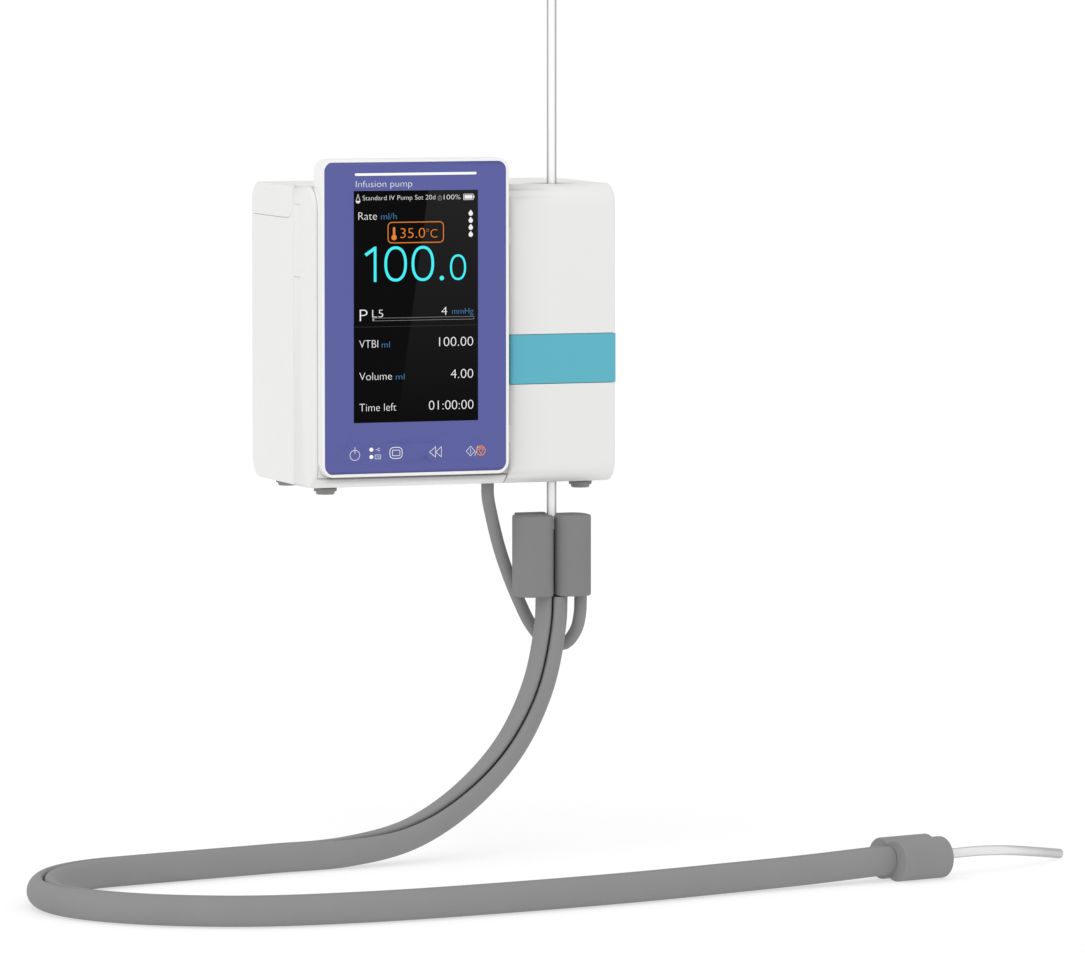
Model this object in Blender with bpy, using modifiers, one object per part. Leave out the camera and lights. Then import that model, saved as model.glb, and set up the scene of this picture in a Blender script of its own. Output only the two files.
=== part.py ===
"""Infusion pump with a touch display, a tube door, a pole clamp and a fluid warming sleeve.

Metres, +Z up. The origin is the middle of the pole seat, the flat rear face of the clamp's base
plate, whose normal is +Y. The pump's front faces -Y, and +X is to the right seen from the front.
"""

import math

import bmesh
import bpy
import numpy as np
from mathutils import Matrix, Vector

# ---------------------------------------------------------------- driving dimensions
GAP = 0.0003                     # left between touching pieces
RUNNING = 0.0001                 # radial clearance of a turning fit

HALF_WIDTH = 0.066               # pump case, side to side
HALF_HEIGHT = 0.062
REAR_Y = -0.0125                 # case's rear face
FRONT_Y = -0.0965                # case's and door's front face
CORNER = 0.009                   # rounding of the case seen from the side
WALL = 0.0027
SIDE_WALL = 0.0055
SEAM_Y = -0.070                  # parting line between front and rear housing

DOOR_LEFT_X = 0.0189
DOOR_BACK_Y = -0.0875
DECK_Y = -0.0871                 # plane that the door closes on
DECK_BACK_Y = -0.0806
HINGE_X, HINGE_Y = 0.0221, -0.0933
HINGE_CORNER = HINGE_X - DOOR_LEFT_X
BRACKET_Z = 0.041
BRACKET_HALF, BRACKET_WIDTH = 0.003, 0.0038
PIN_RADIUS = 0.0012

MODULE_LOW = (-0.0635, -0.1005, -0.0569)      # display module
MODULE_HIGH = (0.0176, -0.0885, 0.0736)
MODULE_CORNER = 0.005
RIM = 0.001
SCREEN_WIDTH, SCREEN_HEIGHT = 0.05386, 0.09504   # 4.3 inch display, portrait
SCREEN_X, SCREEN_Z = -0.0230, 0.0130
PANEL_THICK = 0.0012
KEY_Z = -0.0470
KEY_RADIUS = 0.0044
KEYS = {"button_power": -0.0494, "button_menu": -0.0317,
        "button_bolus": -0.0145, "button_start_stop": 0.0032}
LED_X, LED_RADIUS = -0.0424, 0.0009
LEDS = {"led_mains": -0.0457, "led_battery": -0.0487}
BAR_Z, BAR_HALF_HEIGHT = 0.0673, 0.0006

BAND_TOP, BAND_BOTTOM = 0.0, -0.0204          # teal lever across the door
LEVER_BACK_Y = -0.0925
LEVER_PIVOT_X, LEVER_PIVOT_Y, LEVER_END = 0.0218, -0.0945, 0.0020
HOOK_X, HOOK_Y = 0.0542, -0.0894
HOOK_LOW, HOOK_HIGH = -0.013, -0.007

TUBE_X, TUBE_Y, TUBE_RADIUS = 0.0418, -0.0851, 0.0020
GROOVE_HALF = 0.0024
GROOVE_BACK_Y = -0.0828

HANDLE_LOW = 0.0486              # underside of the handle's arms
HANDLE_FRONT_Y = -0.0693
HANDLE_THICK = 0.0026
HANDLE_BAR_Y = -0.0215
HANDLE_BAR_LOW = 0.0506
HANDLE_END = (HALF_HEIGHT - HANDLE_LOW) / 2
PIVOT_Y, PIVOT_Z = HANDLE_FRONT_Y + HANDLE_END, HALF_HEIGHT - HANDLE_END
TRUNNION = 0.002

CAM_Y = -0.055                   # camshaft, straight behind the tube
CAM_RADIUS, CAM_THROW, CAM_WIDTH = 0.0055, 0.0015, 0.0036
SHAFT_RADIUS = 0.0025
FINGERS, FINGER_PITCH = 6, 0.0054
GEAR_MODULE, GEAR_TEETH, PINION_TEETH = 0.0006, 42, 14
GEAR_LOW, GEAR_HIGH = -0.0300, -0.0252
MOTOR_Y = CAM_Y + GEAR_MODULE * (GEAR_TEETH + PINION_TEETH) / 2
MOTOR_RADIUS = 0.009

FLOOR_Z = -0.2167                # the surface under the hanging sleeve
BLOCK_TOP, BLOCK_BOTTOM = -0.0759, -0.1103
BLOCK_HALF_WIDTH, BLOCK_HALF_DEPTH, BLOCK_CORNER = 0.0162, 0.0085, 0.006
SLIT = 0.0008
SLEEVE_RADIUS = 0.00625
CABLE_RADIUS = 0.0026
CLIP_RADIUS, CLIP_SPACING, CLIP_LENGTH = 0.00845, 0.0100, 0.0270
CLIP_START = Vector((0.1369, -0.2220, -0.2082))
CLIP_DIRECTION = Vector((0.970, 0.243, 0.0)).normalized()
CHAMBER_LOW, CHAMBER_HIGH, CHAMBER_RADIUS = 0.1440, 0.1890, 0.0085
SPIKE_TOP = 0.2160

FOOT_X, FOOT_YS = 0.056, {"front": -0.081, "rear": -0.030}

CLAMP_LEFT, CLAMP_JAW, CLAMP_ARM, CLAMP_RIGHT = -0.030, -0.018, 0.022, 0.034
CLAMP_DEPTH, CLAMP_HALF = 0.040, 0.018
SCREW_Y, SCREW_RADIUS = 0.022, 0.004
PAD_LEFT, PAD_RIGHT = 0.012, 0.017
KNOB_LEFT, KNOB_RIGHT, KNOB_RADIUS = 0.052, 0.070, 0.017

# low and high corner of the plain boxes inside the case
INNER_BOXES = {
    "main_board": ((-0.057, -0.0800, -0.050), (0.012, -0.0784, 0.045)),
    "display_board": ((-0.056, -0.0960, -0.048), (0.010, -0.0946, 0.066)),
    "battery_pack": ((-0.056, -0.0620, -0.054), (-0.012, -0.0380, -0.006)),
    "power_supply": ((-0.056, -0.0620, 0.002), (-0.012, -0.0360, 0.044)),
}

# routes of the free cords, read through a smooth curve
CABLE_ROUTE = [
    (0.0164, -0.0770, -0.0624), (0.0165, -0.0769, -0.0680), (0.0190, -0.0747, -0.0770),
    (0.0229, -0.0727, -0.0897), (0.0268, -0.0721, -0.1005), (0.0319, -0.0718, -0.1124),
    (0.0378, -0.0718, -0.1236), (0.0440, -0.0729, -0.1303), (0.0506, -0.0765, -0.1310),
    (0.0541, -0.0806, -0.1253), (0.0549, -0.0836, -0.1180), (0.0550, -0.0843, -0.1109),
]
SLEEVE_ROUTE = [
    (0.0418, -0.0851, -0.1109), (0.0413, -0.0852, -0.1210), (0.0354, -0.0868, -0.1466),
    (0.0216, -0.0905, -0.1713), (-0.0004, -0.0963, -0.1915), (-0.0265, -0.1032, -0.2048),
    (-0.0570, -0.1110, -0.2099), (-0.0907, -0.1176, -0.2104), (-0.1247, -0.1260, -0.2104),
    (-0.1516, -0.1326, -0.2104), (-0.1751, -0.1401, -0.2104), (-0.1940, -0.1545, -0.2104),
    (-0.2065, -0.1735, -0.2104), (-0.2128, -0.1966, -0.2104), (-0.2080, -0.2205, -0.2104),
    (-0.1930, -0.2405, -0.2104), (-0.1709, -0.2565, -0.2104), (-0.1417, -0.2675, -0.2104),
    (-0.0993, -0.2698, -0.2104), (-0.0464, -0.2635, -0.2104), (0.0147, -0.2511, -0.2104),
    (0.0600, -0.2385, -0.2103), (0.0976, -0.2293, -0.2098), (0.1360, -0.2222, -0.2084),
]
OUTLET_ROUTE = [
    (0.1634, -0.2154, -0.2082), (0.1686, -0.2142, -0.2080), (0.1820, -0.2110, -0.2079),
    (0.1960, -0.2065, -0.2088), (0.2120, -0.1970, -0.2112), (0.2300, -0.1828, -0.2145),
]

# colour (linear), roughness, metallic
FINISHES = {
    "white_plastic": ((0.82, 0.83, 0.82), 0.45, 0.0),
    "blue_panel": ((0.117, 0.130, 0.366), 0.20, 0.0),
    "black_glass": ((0.006, 0.006, 0.007), 0.10, 0.0),
    "teal_plastic": ((0.127, 0.468, 0.591), 0.40, 0.0),
    "grey_foam": ((0.255, 0.255, 0.255), 0.70, 0.0),
    "grey_rubber": ((0.130, 0.130, 0.130), 0.80, 0.0),
    "dark_plastic": ((0.030, 0.030, 0.032), 0.55, 0.0),
    "clear_tube": ((0.80, 0.81, 0.81), 0.15, 0.0),
    "white_light": ((0.90, 0.90, 0.90), 0.30, 0.0),
    "steel": ((0.56, 0.57, 0.58), 0.35, 1.0),
    "aluminium": ((0.70, 0.71, 0.72), 0.45, 1.0),
    "circuit_board": ((0.02, 0.12, 0.05), 0.60, 0.0),
    "battery_wrap": ((0.05, 0.08, 0.25), 0.50, 0.0),
}


# ---------------------------------------------------------------- tools
def start_scene():
    for item in list(bpy.data.objects):
        bpy.data.objects.remove(item, do_unlink=True)
    groups = []
    for name in ("infusion_pump", "cutters"):
        group = bpy.data.collections.new(name)
        bpy.context.scene.collection.children.link(group)
        groups.append(group)
    return groups


PARTS, CUTTERS = start_scene()


def finish_material(finish):
    found = bpy.data.materials.get(finish)
    if found:
        return found
    colour, roughness, metallic = FINISHES[finish]
    material = bpy.data.materials.new(finish)
    material.use_nodes = True
    shader = material.node_tree.nodes["Principled BSDF"]
    shader.inputs["Base Color"].default_value = (*colour, 1.0)
    shader.inputs["Roughness"].default_value = roughness
    shader.inputs["Metallic"].default_value = metallic
    return material


def add_object(name, mesh, finish=None):
    """A part in its collection, or a cutter when it has no finish."""
    item = bpy.data.objects.new(name, mesh)
    if finish:
        PARTS.objects.link(item)
        mesh.materials.clear()
        mesh.materials.append(finish_material(finish))
    else:
        CUTTERS.objects.link(item)
        item.hide_render = True
        item.display_type = "WIRE"
    return item


def set_origin(item, point):
    """Moves the object's origin to its joint's axis, and leaves its shape where it is."""
    item.data.transform(Matrix.Translation(-Vector(point)))
    item.location = point
    return item


def box(name, low, high, finish=None, bevel=0.0):
    low, high = Vector(low), Vector(high)
    mesh = bpy.data.meshes.new(name)
    form = bmesh.new()
    bmesh.ops.create_cube(form, size=1.0)
    form.to_mesh(mesh)
    form.free()
    mesh.transform(Matrix.Translation((low + high) / 2) @ Matrix.Diagonal((*(high - low), 1.0)))
    item = add_object(name, mesh, finish)
    if bevel:
        add_bevel(item, bevel)
    return item


def add_bevel(item, width, segments=2):
    rounding = item.modifiers.new("bevel", "BEVEL")
    rounding.width = width
    rounding.segments = segments
    rounding.limit_method = "ANGLE"
    rounding.angle_limit = math.radians(40)


def cylinder(name, start, end, radius, finish=None, end_radius=None, sides=24):
    start, end = Vector(start), Vector(end)
    run = end - start
    mesh = bpy.data.meshes.new(name)
    form = bmesh.new()
    bmesh.ops.create_cone(form, cap_ends=True, segments=sides, radius1=radius, depth=run.length,
                          radius2=radius if end_radius is None else end_radius)
    form.to_mesh(mesh)
    form.free()
    turn = run.to_track_quat("Z", "Y").to_matrix().to_4x4()
    mesh.transform(Matrix.Translation((start + end) / 2) @ turn)
    smooth(mesh)
    return add_object(name, mesh, finish)


def smooth(mesh):
    mesh.shade_smooth()
    mesh.set_sharp_from_angle(angle=math.radians(35))


def curve_to_mesh(name, curve, matrix, finish):
    """Turns a curve into a closed mesh with its caps welded on."""
    item = bpy.data.objects.new(name + "_curve", curve)
    item.matrix_world = matrix
    CUTTERS.objects.link(item)
    bpy.context.view_layer.update()
    evaluated = item.evaluated_get(bpy.context.evaluated_depsgraph_get())
    mesh = bpy.data.meshes.new_from_object(evaluated)
    form = bmesh.new()
    form.from_mesh(mesh)
    bmesh.ops.remove_doubles(form, verts=form.verts, dist=0.00001)
    bmesh.ops.recalc_face_normals(form, faces=form.faces)
    form.to_mesh(mesh)
    form.free()
    mesh.transform(item.matrix_world)
    bpy.data.objects.remove(item, do_unlink=True)
    mesh.name = name
    smooth(mesh)
    return add_object(name, mesh, finish)


ACROSS = {  # the outline's two directions, then the direction it is extruded in
    "X": Matrix(((0, 0, 1, 0), (1, 0, 0, 0), (0, 1, 0, 0), (0, 0, 0, 1))),
    "Y": Matrix(((1, 0, 0, 0), (0, 0, -1, 0), (0, 1, 0, 0), (0, 0, 0, 1))),
    "Z": Matrix.Identity(4),
}


def prism(name, outline, axis, low, high, finish=None):
    """A flat outline extruded along an axis: (y, z) for X, (x, z) for Y and (x, y) for Z."""
    curve = bpy.data.curves.new(name, "CURVE")
    curve.dimensions = "2D"
    curve.fill_mode = "BOTH"
    curve.extrude = (high - low) / 2
    spline = curve.splines.new("POLY")
    spline.points.add(len(outline) - 1)
    for point, (u, v) in zip(spline.points, outline):
        point.co = (u, v, 0.0, 1.0)
    spline.use_cyclic_u = True
    shift = Vector((0, 0, 0))
    shift["XYZ".index(axis)] = (low + high) / 2
    return curve_to_mesh(name, curve, Matrix.Translation(shift) @ ACROSS[axis], finish)


def arc(centre, radius, first, last, steps):
    angles = [math.radians(first + (last - first) * i / steps) for i in range(steps + 1)]
    return [(centre[0] + radius * math.cos(a), centre[1] + radius * math.sin(a)) for a in angles]


def rounded_outline(low, high, radii, steps=10):
    """Anticlockwise rectangle; radii run low-low, high-low, high-high, low-high."""
    corners = [
        (low[0], low[1], 1, 1, 180), (high[0], low[1], -1, 1, 270),
        (high[0], high[1], -1, -1, 0), (low[0], high[1], 1, -1, 90),
    ]
    outline = []
    for (u, v, du, dv, first), radius in zip(corners, radii):
        if radius:
            centre = (u + du * radius, v + dv * radius)
            outline += arc(centre, radius, first, first + 90, steps)
        else:
            outline.append((u, v))
    return outline


def boolean(target, other, operation):
    change = target.modifiers.new(operation.lower(), "BOOLEAN")
    change.operation = operation
    change.solver = "EXACT"
    change.object = other


def cut(target, *cutters):
    for cutter in cutters:
        boolean(target, cutter, "DIFFERENCE")


def join(target, *others):
    for other in others:
        boolean(target, other, "UNION")


def turned(name, profile, place, finish, steps=24):
    """A (radius, height) profile, listed from the top down, turned about the local Z axis."""
    mesh = bpy.data.meshes.new(name)
    edges = [(i, i + 1) for i in range(len(profile) - 1)]
    mesh.from_pydata([(radius, 0.0, height) for radius, height in profile], edges, [])
    item = add_object(name, mesh, finish)
    item.location = place
    turn = item.modifiers.new("turn", "SCREW")
    turn.steps = steps
    turn.render_steps = steps
    turn.use_merge_vertices = True
    turn.merge_threshold = 0.00005
    turn.use_smooth_shade = False
    return item


def smooth_route(route, spacing):
    """Points about every `spacing` along a centripetal Catmull-Rom curve through the route."""
    points = [Vector(p) for p in route]
    points = [2 * points[0] - points[1]] + points + [2 * points[-1] - points[-2]]
    fine = []
    for p0, p1, p2, p3 in zip(points, points[1:], points[2:], points[3:]):
        knots = [0.0]
        for a, b in ((p0, p1), (p1, p2), (p2, p3)):
            knots.append(knots[-1] + (b - a).length ** 0.5)
        t0, t1, t2, t3 = knots
        for t in np.linspace(t1, t2, 24, endpoint=False):
            a1 = p0 * ((t1 - t) / (t1 - t0)) + p1 * ((t - t0) / (t1 - t0))
            a2 = p1 * ((t2 - t) / (t2 - t1)) + p2 * ((t - t1) / (t2 - t1))
            a3 = p2 * ((t3 - t) / (t3 - t2)) + p3 * ((t - t2) / (t3 - t2))
            b1 = a1 * ((t2 - t) / (t2 - t0)) + a2 * ((t - t0) / (t2 - t0))
            b2 = a2 * ((t3 - t) / (t3 - t1)) + a3 * ((t - t1) / (t3 - t1))
            fine.append(b1 * ((t2 - t) / (t2 - t1)) + b2 * ((t - t1) / (t2 - t1)))
    fine.append(points[-2])
    line = np.array(fine)
    reach = np.concatenate([[0.0], np.cumsum(np.linalg.norm(np.diff(line, axis=0), axis=1))])
    count = max(2, round(reach[-1] / spacing))
    marks = np.linspace(0.0, reach[-1], count + 1)
    return np.column_stack([np.interp(marks, reach, line[:, i]) for i in range(3)])


def tube(name, route, radius, finish, spacing, resolution=2):
    curve = bpy.data.curves.new(name, "CURVE")
    curve.dimensions = "3D"
    curve.bevel_depth = radius
    curve.bevel_resolution = resolution
    curve.use_fill_caps = True
    spline = curve.splines.new("POLY")
    points = smooth_route(route, spacing)
    spline.points.add(len(points) - 1)
    for point, place in zip(spline.points, points):
        point.co = (*place, 1.0)
    return curve_to_mesh(name, curve, Matrix.Identity(4), finish)


# ---------------------------------------------------------------- case
def rear_housing():
    steep = rounded_outline((SEAM_Y - 0.00015 + GAP, -HALF_HEIGHT), (REAR_Y, HALF_HEIGHT),
                            (0, CORNER, CORNER, 0))
    shell = prism("rear_housing", steep, "X", -HALF_WIDTH, HALF_WIDTH, "white_plastic")
    inner_top = HALF_HEIGHT - WALL
    notch_wall_y, notch_wall_z = HANDLE_BAR_Y - 0.0030, HANDLE_BAR_LOW - 0.0030
    cavity = [(SEAM_Y - 0.001, -inner_top), (REAR_Y - WALL, -inner_top),
              (REAR_Y - WALL, notch_wall_z), (notch_wall_y, notch_wall_z),
              (notch_wall_y, inner_top), (SEAM_Y - 0.001, inner_top)]
    inner_x = HALF_WIDTH - SIDE_WALL
    cut(shell, prism("rear_cavity", cavity, "X", -inner_x, inner_x))
    bar_room = [(HANDLE_BAR_Y - 0.0004, HANDLE_BAR_LOW - 0.0004), (0.0, HANDLE_BAR_LOW - 0.0004),
                (0.0, 0.070), (HANDLE_BAR_Y - 0.0004, 0.070)]
    cut(shell, prism("bar_room", bar_room, "X", -0.070, 0.070))
    for side in (-1, 1):
        low, high = sorted((side * (HALF_WIDTH - HANDLE_THICK - GAP), side * 0.070))
        room = arc((PIVOT_Y, PIVOT_Z), HANDLE_END + GAP, 180, 270, 6)
        room += [(0.0, HANDLE_LOW - GAP), (0.0, 0.070), (-0.075, 0.070), (-0.075, PIVOT_Z)]
        cut(shell, prism(f"arm_room_{side}", room, "X", low, high))
        cut(shell, cylinder(f"trunnion_hole_{side}", (side * 0.058, PIVOT_Y, PIVOT_Z),
                            (side * 0.0645, PIVOT_Y, PIVOT_Z), TRUNNION + 2 * RUNNING))
    cut(shell, box("inlet_window", (-0.0563, -0.020, -0.0523), (-0.0277, -0.005, -0.0317)))
    return shell


def front_housing():
    left = rounded_outline((FRONT_Y, -HALF_HEIGHT), (SEAM_Y - 0.00015, HALF_HEIGHT),
                           (CORNER, 0, 0, CORNER))
    shell = prism("front_housing", left, "X", -HALF_WIDTH, DOOR_LEFT_X - GAP, "white_plastic")
    join(shell, box("deck_block", (0.010, DECK_Y, -HALF_HEIGHT),
                    (HALF_WIDTH, SEAM_Y - 0.00015, HALF_HEIGHT)))
    inner = HALF_HEIGHT - WALL
    wall_y = MODULE_HIGH[1] + GAP + 0.0026
    cut(shell,
        box("left_cavity", (SIDE_WALL - HALF_WIDTH, wall_y, -inner), (0.016, -0.060, inner)),
        box("right_cavity", (0.015, DECK_BACK_Y, -inner), (HALF_WIDTH - WALL, -0.060, inner)),
        box("module_room", (MODULE_LOW[0] - GAP, -0.110, MODULE_LOW[2] - GAP),
            (0.0200, MODULE_HIGH[1] + GAP, 0.080)),
        box("face_window", (0.0297, -0.090, -0.0453), (0.0623, -0.078, 0.0453)),
        box("tube_groove", (TUBE_X - GROOVE_HALF, -0.090, -0.070),
            (TUBE_X + GROOVE_HALF, GROOVE_BACK_Y, 0.070)),
        box("gland_room", (0.0100, -0.0835, -inner), (0.0230, -0.060, -inner + 0.0045)),
        box("port_room", (-0.070, -0.0793, 0.0242), (-0.0642, -0.0690, 0.0548)),
        box("port_recess", (-0.065, -0.0775, 0.0300), (-0.0617, -0.0725, 0.0480)),
        cylinder("gland_hole", (0.0164, -0.0770, -0.066), (0.0164, -0.0770, -0.055), 0.0044))
    for name, side in (("upper", 1), ("lower", -1)):
        middle = side * BRACKET_Z
        cut(shell, box(f"bracket_room_{name}",
                       (0.0199, -0.090, middle - BRACKET_HALF - GAP),
                       (0.0243, -0.078, middle + BRACKET_HALF + GAP)))
    return shell


def carry_handle():
    """A U that wraps the rear top edge, on trunnions at the front ends of its arms."""
    bar = [(HANDLE_BAR_Y, HANDLE_BAR_LOW), (REAR_Y, HANDLE_BAR_LOW)]
    bar += arc((REAR_Y - CORNER, HALF_HEIGHT - CORNER), CORNER, 0, 90, 10)
    handle = prism("carry_handle", bar, "X", -0.0645, 0.0645, "white_plastic")
    for side in (-1, 1):
        arm = arc((PIVOT_Y, PIVOT_Z), HANDLE_END, 90, 270, 12)
        arm.append((REAR_Y, HANDLE_LOW))
        arm += arc((REAR_Y - CORNER, HALF_HEIGHT - CORNER), CORNER, 0, 90, 10)
        low, high = sorted((side * (HALF_WIDTH - HANDLE_THICK), side * HALF_WIDTH))
        join(handle,
             prism(f"handle_arm_{side}", arm, "X", low, high),
             cylinder(f"trunnion_{side}", (side * 0.0610, PIVOT_Y, PIVOT_Z),
                      (side * 0.0645, PIVOT_Y, PIVOT_Z), TRUNNION))
    return set_origin(handle, (0.0, PIVOT_Y, PIVOT_Z))


def side_port_cover():
    cover = box("side_port_cover", (-0.066, -0.0790, 0.0245), (-0.0645, -0.0702, 0.0545),
                "white_plastic", bevel=0.0004)
    return set_origin(cover, (-0.0659, -0.0746, 0.0544))


def feet():
    profile = [(0.0, -GAP), (0.0048, -GAP), (0.0048, -0.0018), (0.0039, -0.0022),
               (0.0037, -0.0031), (0.0, -0.0031)]
    for side, x in (("left", -FOOT_X), ("right", FOOT_X)):
        for end, y in FOOT_YS.items():
            turned(f"foot_{end}_{side}", profile, (x, y, -HALF_HEIGHT), "grey_rubber", 20)


def mains_inlet():
    inlet = box("mains_inlet", (-0.0560, -0.0340, -0.0520), (-0.0280, REAR_Y - GAP, -0.0320),
                "dark_plastic")
    socket = rounded_outline((-0.0530, -0.0490), (-0.0310, -0.0350), (0.0010, 0.0010, 0.004, 0.004), 4)
    cut(inlet, prism("inlet_socket", socket, "Y", -0.0280, -0.0050))
    return inlet


def inner_boxes():
    finishes = {"main_board": "circuit_board", "display_board": "circuit_board",
                "battery_pack": "battery_wrap", "power_supply": "aluminium"}
    for name, (low, high) in INNER_BOXES.items():
        box(name, low, high, finishes[name])
    cylinder("speaker", (0.040, -0.0210, -0.042), (0.040, -0.0155, -0.042), 0.012, "dark_plastic")


# ---------------------------------------------------------------- display module
def display_bezel():
    outline = rounded_outline((MODULE_LOW[0], MODULE_LOW[2]), (MODULE_HIGH[0], MODULE_HIGH[2]),
                              [MODULE_CORNER] * 4, 8)
    tray = prism("display_bezel", outline, "Y", MODULE_LOW[1] + 0.0001, MODULE_HIGH[1],
                 "white_plastic")
    inner = rounded_outline((MODULE_LOW[0] + RIM - 0.0002, MODULE_LOW[2] + RIM - 0.0002),
                            (MODULE_HIGH[0] - RIM + 0.0002, MODULE_HIGH[2] - RIM + 0.0002),
                            [MODULE_CORNER - RIM + 0.0002] * 4, 8)
    cut(tray, prism("tray_room", inner, "Y", -0.110, MODULE_HIGH[1] - 0.002))
    return tray


def front_panel():
    low = (MODULE_LOW[0] + RIM, MODULE_LOW[2] + RIM)
    high = (MODULE_HIGH[0] - RIM, MODULE_HIGH[2] - RIM)
    outline = rounded_outline(low, high, [MODULE_CORNER - RIM] * 4, 8)
    panel = prism("front_panel", outline, "Y", MODULE_LOW[1], MODULE_LOW[1] + PANEL_THICK,
                  "blue_panel")
    half_x, half_z = SCREEN_WIDTH / 2 + GAP, SCREEN_HEIGHT / 2 + GAP
    bar_half = SCREEN_WIDTH / 2 + GAP
    cut(panel,
        box("screen_window", (SCREEN_X - half_x, -0.110, SCREEN_Z - half_z),
            (SCREEN_X + half_x, -0.095, SCREEN_Z + half_z)),
        box("bar_slot", (SCREEN_X - bar_half, -0.110, BAR_Z - BAR_HALF_HEIGHT - GAP),
            (SCREEN_X + bar_half, -0.095, BAR_Z + BAR_HALF_HEIGHT + GAP)))
    for name, x in KEYS.items():
        cut(panel, cylinder(name + "_hole", (x, -0.110, KEY_Z), (x, -0.095, KEY_Z),
                            KEY_RADIUS + 0.00015))
    for name, z in LEDS.items():
        cut(panel, cylinder(name + "_hole", (LED_X, -0.110, z), (LED_X, -0.095, z),
                            LED_RADIUS + 0.0002, sides=16))
    return panel


def display_inserts():
    face = MODULE_LOW[1]
    box("lcd_screen", (SCREEN_X - SCREEN_WIDTH / 2, face + 0.0001, SCREEN_Z - SCREEN_HEIGHT / 2),
        (SCREEN_X + SCREEN_WIDTH / 2, face + 0.0035, SCREEN_Z + SCREEN_HEIGHT / 2), "black_glass")
    box("alarm_bar", (SCREEN_X - SCREEN_WIDTH / 2, face, BAR_Z - BAR_HALF_HEIGHT),
        (SCREEN_X + SCREEN_WIDTH / 2, face + 0.0020, BAR_Z + BAR_HALF_HEIGHT), "white_light")
    for name, x in KEYS.items():
        cap = cylinder(name, (x, face, KEY_Z), (x, face + 0.0018, KEY_Z), KEY_RADIUS, "blue_panel")
        set_origin(cap, (x, face, KEY_Z))
    for name, z in LEDS.items():
        cylinder(name, (LED_X, face, z), (LED_X, face + 0.0030, z), LED_RADIUS, "white_light",
                 sides=16)


# ---------------------------------------------------------------- door
def door_shell():
    side = rounded_outline((FRONT_Y, -HALF_HEIGHT), (DOOR_BACK_Y, HALF_HEIGHT),
                           (CORNER - 0.0001, 0, 0, CORNER - 0.0001))
    door = prism("door_shell", side, "X", DOOR_LEFT_X, HALF_WIDTH, "white_plastic")
    left_edge = [(0.015, -0.100), (HINGE_X, -0.100)]
    left_edge += arc((HINGE_X, HINGE_Y), HINGE_CORNER, 270, 180, 8)
    left_edge.append((0.015, HINGE_Y))
    cut(door, prism("left_corner", left_edge, "Z", -0.070, 0.070))
    swing_relief = [(0.0180, -0.08896), (0.0210, -0.08705), (0.0180, -0.08705)]
    cut(door, prism("swing_relief", swing_relief, "Z", -0.070, 0.070))
    inner_y = FRONT_Y + 0.0022
    cut(door,
        box("lever_room", (0.0195, -0.110, BAND_BOTTOM - 0.0002), (0.070, -0.0922, BAND_TOP + 0.0002)),
        box("upper_pocket", (0.0270, inner_y, 0.0030), (0.0638, -0.080, 0.0550)),
        box("lower_pocket", (0.0270, inner_y, -0.0550), (0.0638, -0.080, -0.0235)),
        box("plate_room", (0.0337, -0.0914, -0.0253), (0.0499, -0.080, 0.0253)),
        box("hook_room", (0.0508, -0.0916, -0.0140), (0.0620, -0.080, -0.0060)),
        box("liner_room", (0.0265, -0.0888, -0.0565), (0.0645, -0.080, 0.0565)),
        cylinder("lever_bore", (LEVER_PIVOT_X, LEVER_PIVOT_Y, BAND_BOTTOM - 0.0020),
                 (LEVER_PIVOT_X, LEVER_PIVOT_Y, BAND_TOP + 0.0020), 0.0011, sides=16),
        cylinder("hook_bore", (HOOK_X, HOOK_Y, HOOK_LOW - 0.0024), (HOOK_X, HOOK_Y, HOOK_HIGH + 0.0024),
                 0.0011, sides=16))
    for name, sign in (("upper", 1), ("lower", -1)):
        middle = sign * BRACKET_Z
        ends = sorted((sign * 0.0317, sign * 0.0503))
        cut(door,
            box(f"knuckle_room_{name}", (0.010, -0.0955, middle - BRACKET_HALF - 0.0006),
                (0.0262, -0.080, middle + BRACKET_HALF + 0.0006)),
            cylinder(f"hinge_bore_{name}", (HINGE_X, HINGE_Y, ends[0]), (HINGE_X, HINGE_Y, ends[1]),
                     PIN_RADIUS + RUNNING, sides=20))
    return set_origin(door, (HINGE_X, HINGE_Y, 0.0))


def door_liner():
    liner = box("door_liner", (0.0268, -0.0885, -0.0562), (0.0642, DOOR_BACK_Y, 0.0562),
                "white_plastic")
    cut(liner,
        box("plate_window", (0.0337, -0.095, -0.0253), (0.0499, -0.080, 0.0253)),
        box("hook_window", (0.0508, -0.095, -0.0140), (0.0620, -0.080, -0.0060)))
    return liner


def pressure_plate():
    plate = box("pressure_plate", (0.0340, -0.0902, -0.0250), (0.0496, -0.0876, 0.0250), "steel")
    return set_origin(plate, (0.0418, -0.0889, 0.0))


def door_lever():
    outline = [(HALF_WIDTH, FRONT_Y), (HALF_WIDTH, LEVER_BACK_Y)]
    outline += arc((LEVER_PIVOT_X, LEVER_PIVOT_Y), LEVER_END, 90, 270, 12)
    lever = prism("door_lever", outline, "Z", BAND_BOTTOM, BAND_TOP, "teal_plastic")
    join(lever, cylinder("lever_trunnion", (LEVER_PIVOT_X, LEVER_PIVOT_Y, BAND_BOTTOM - 0.0015),
                         (LEVER_PIVOT_X, LEVER_PIVOT_Y, BAND_TOP + 0.0015), 0.0008, sides=16))
    return set_origin(lever, (LEVER_PIVOT_X, LEVER_PIVOT_Y, 0.0))


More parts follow.
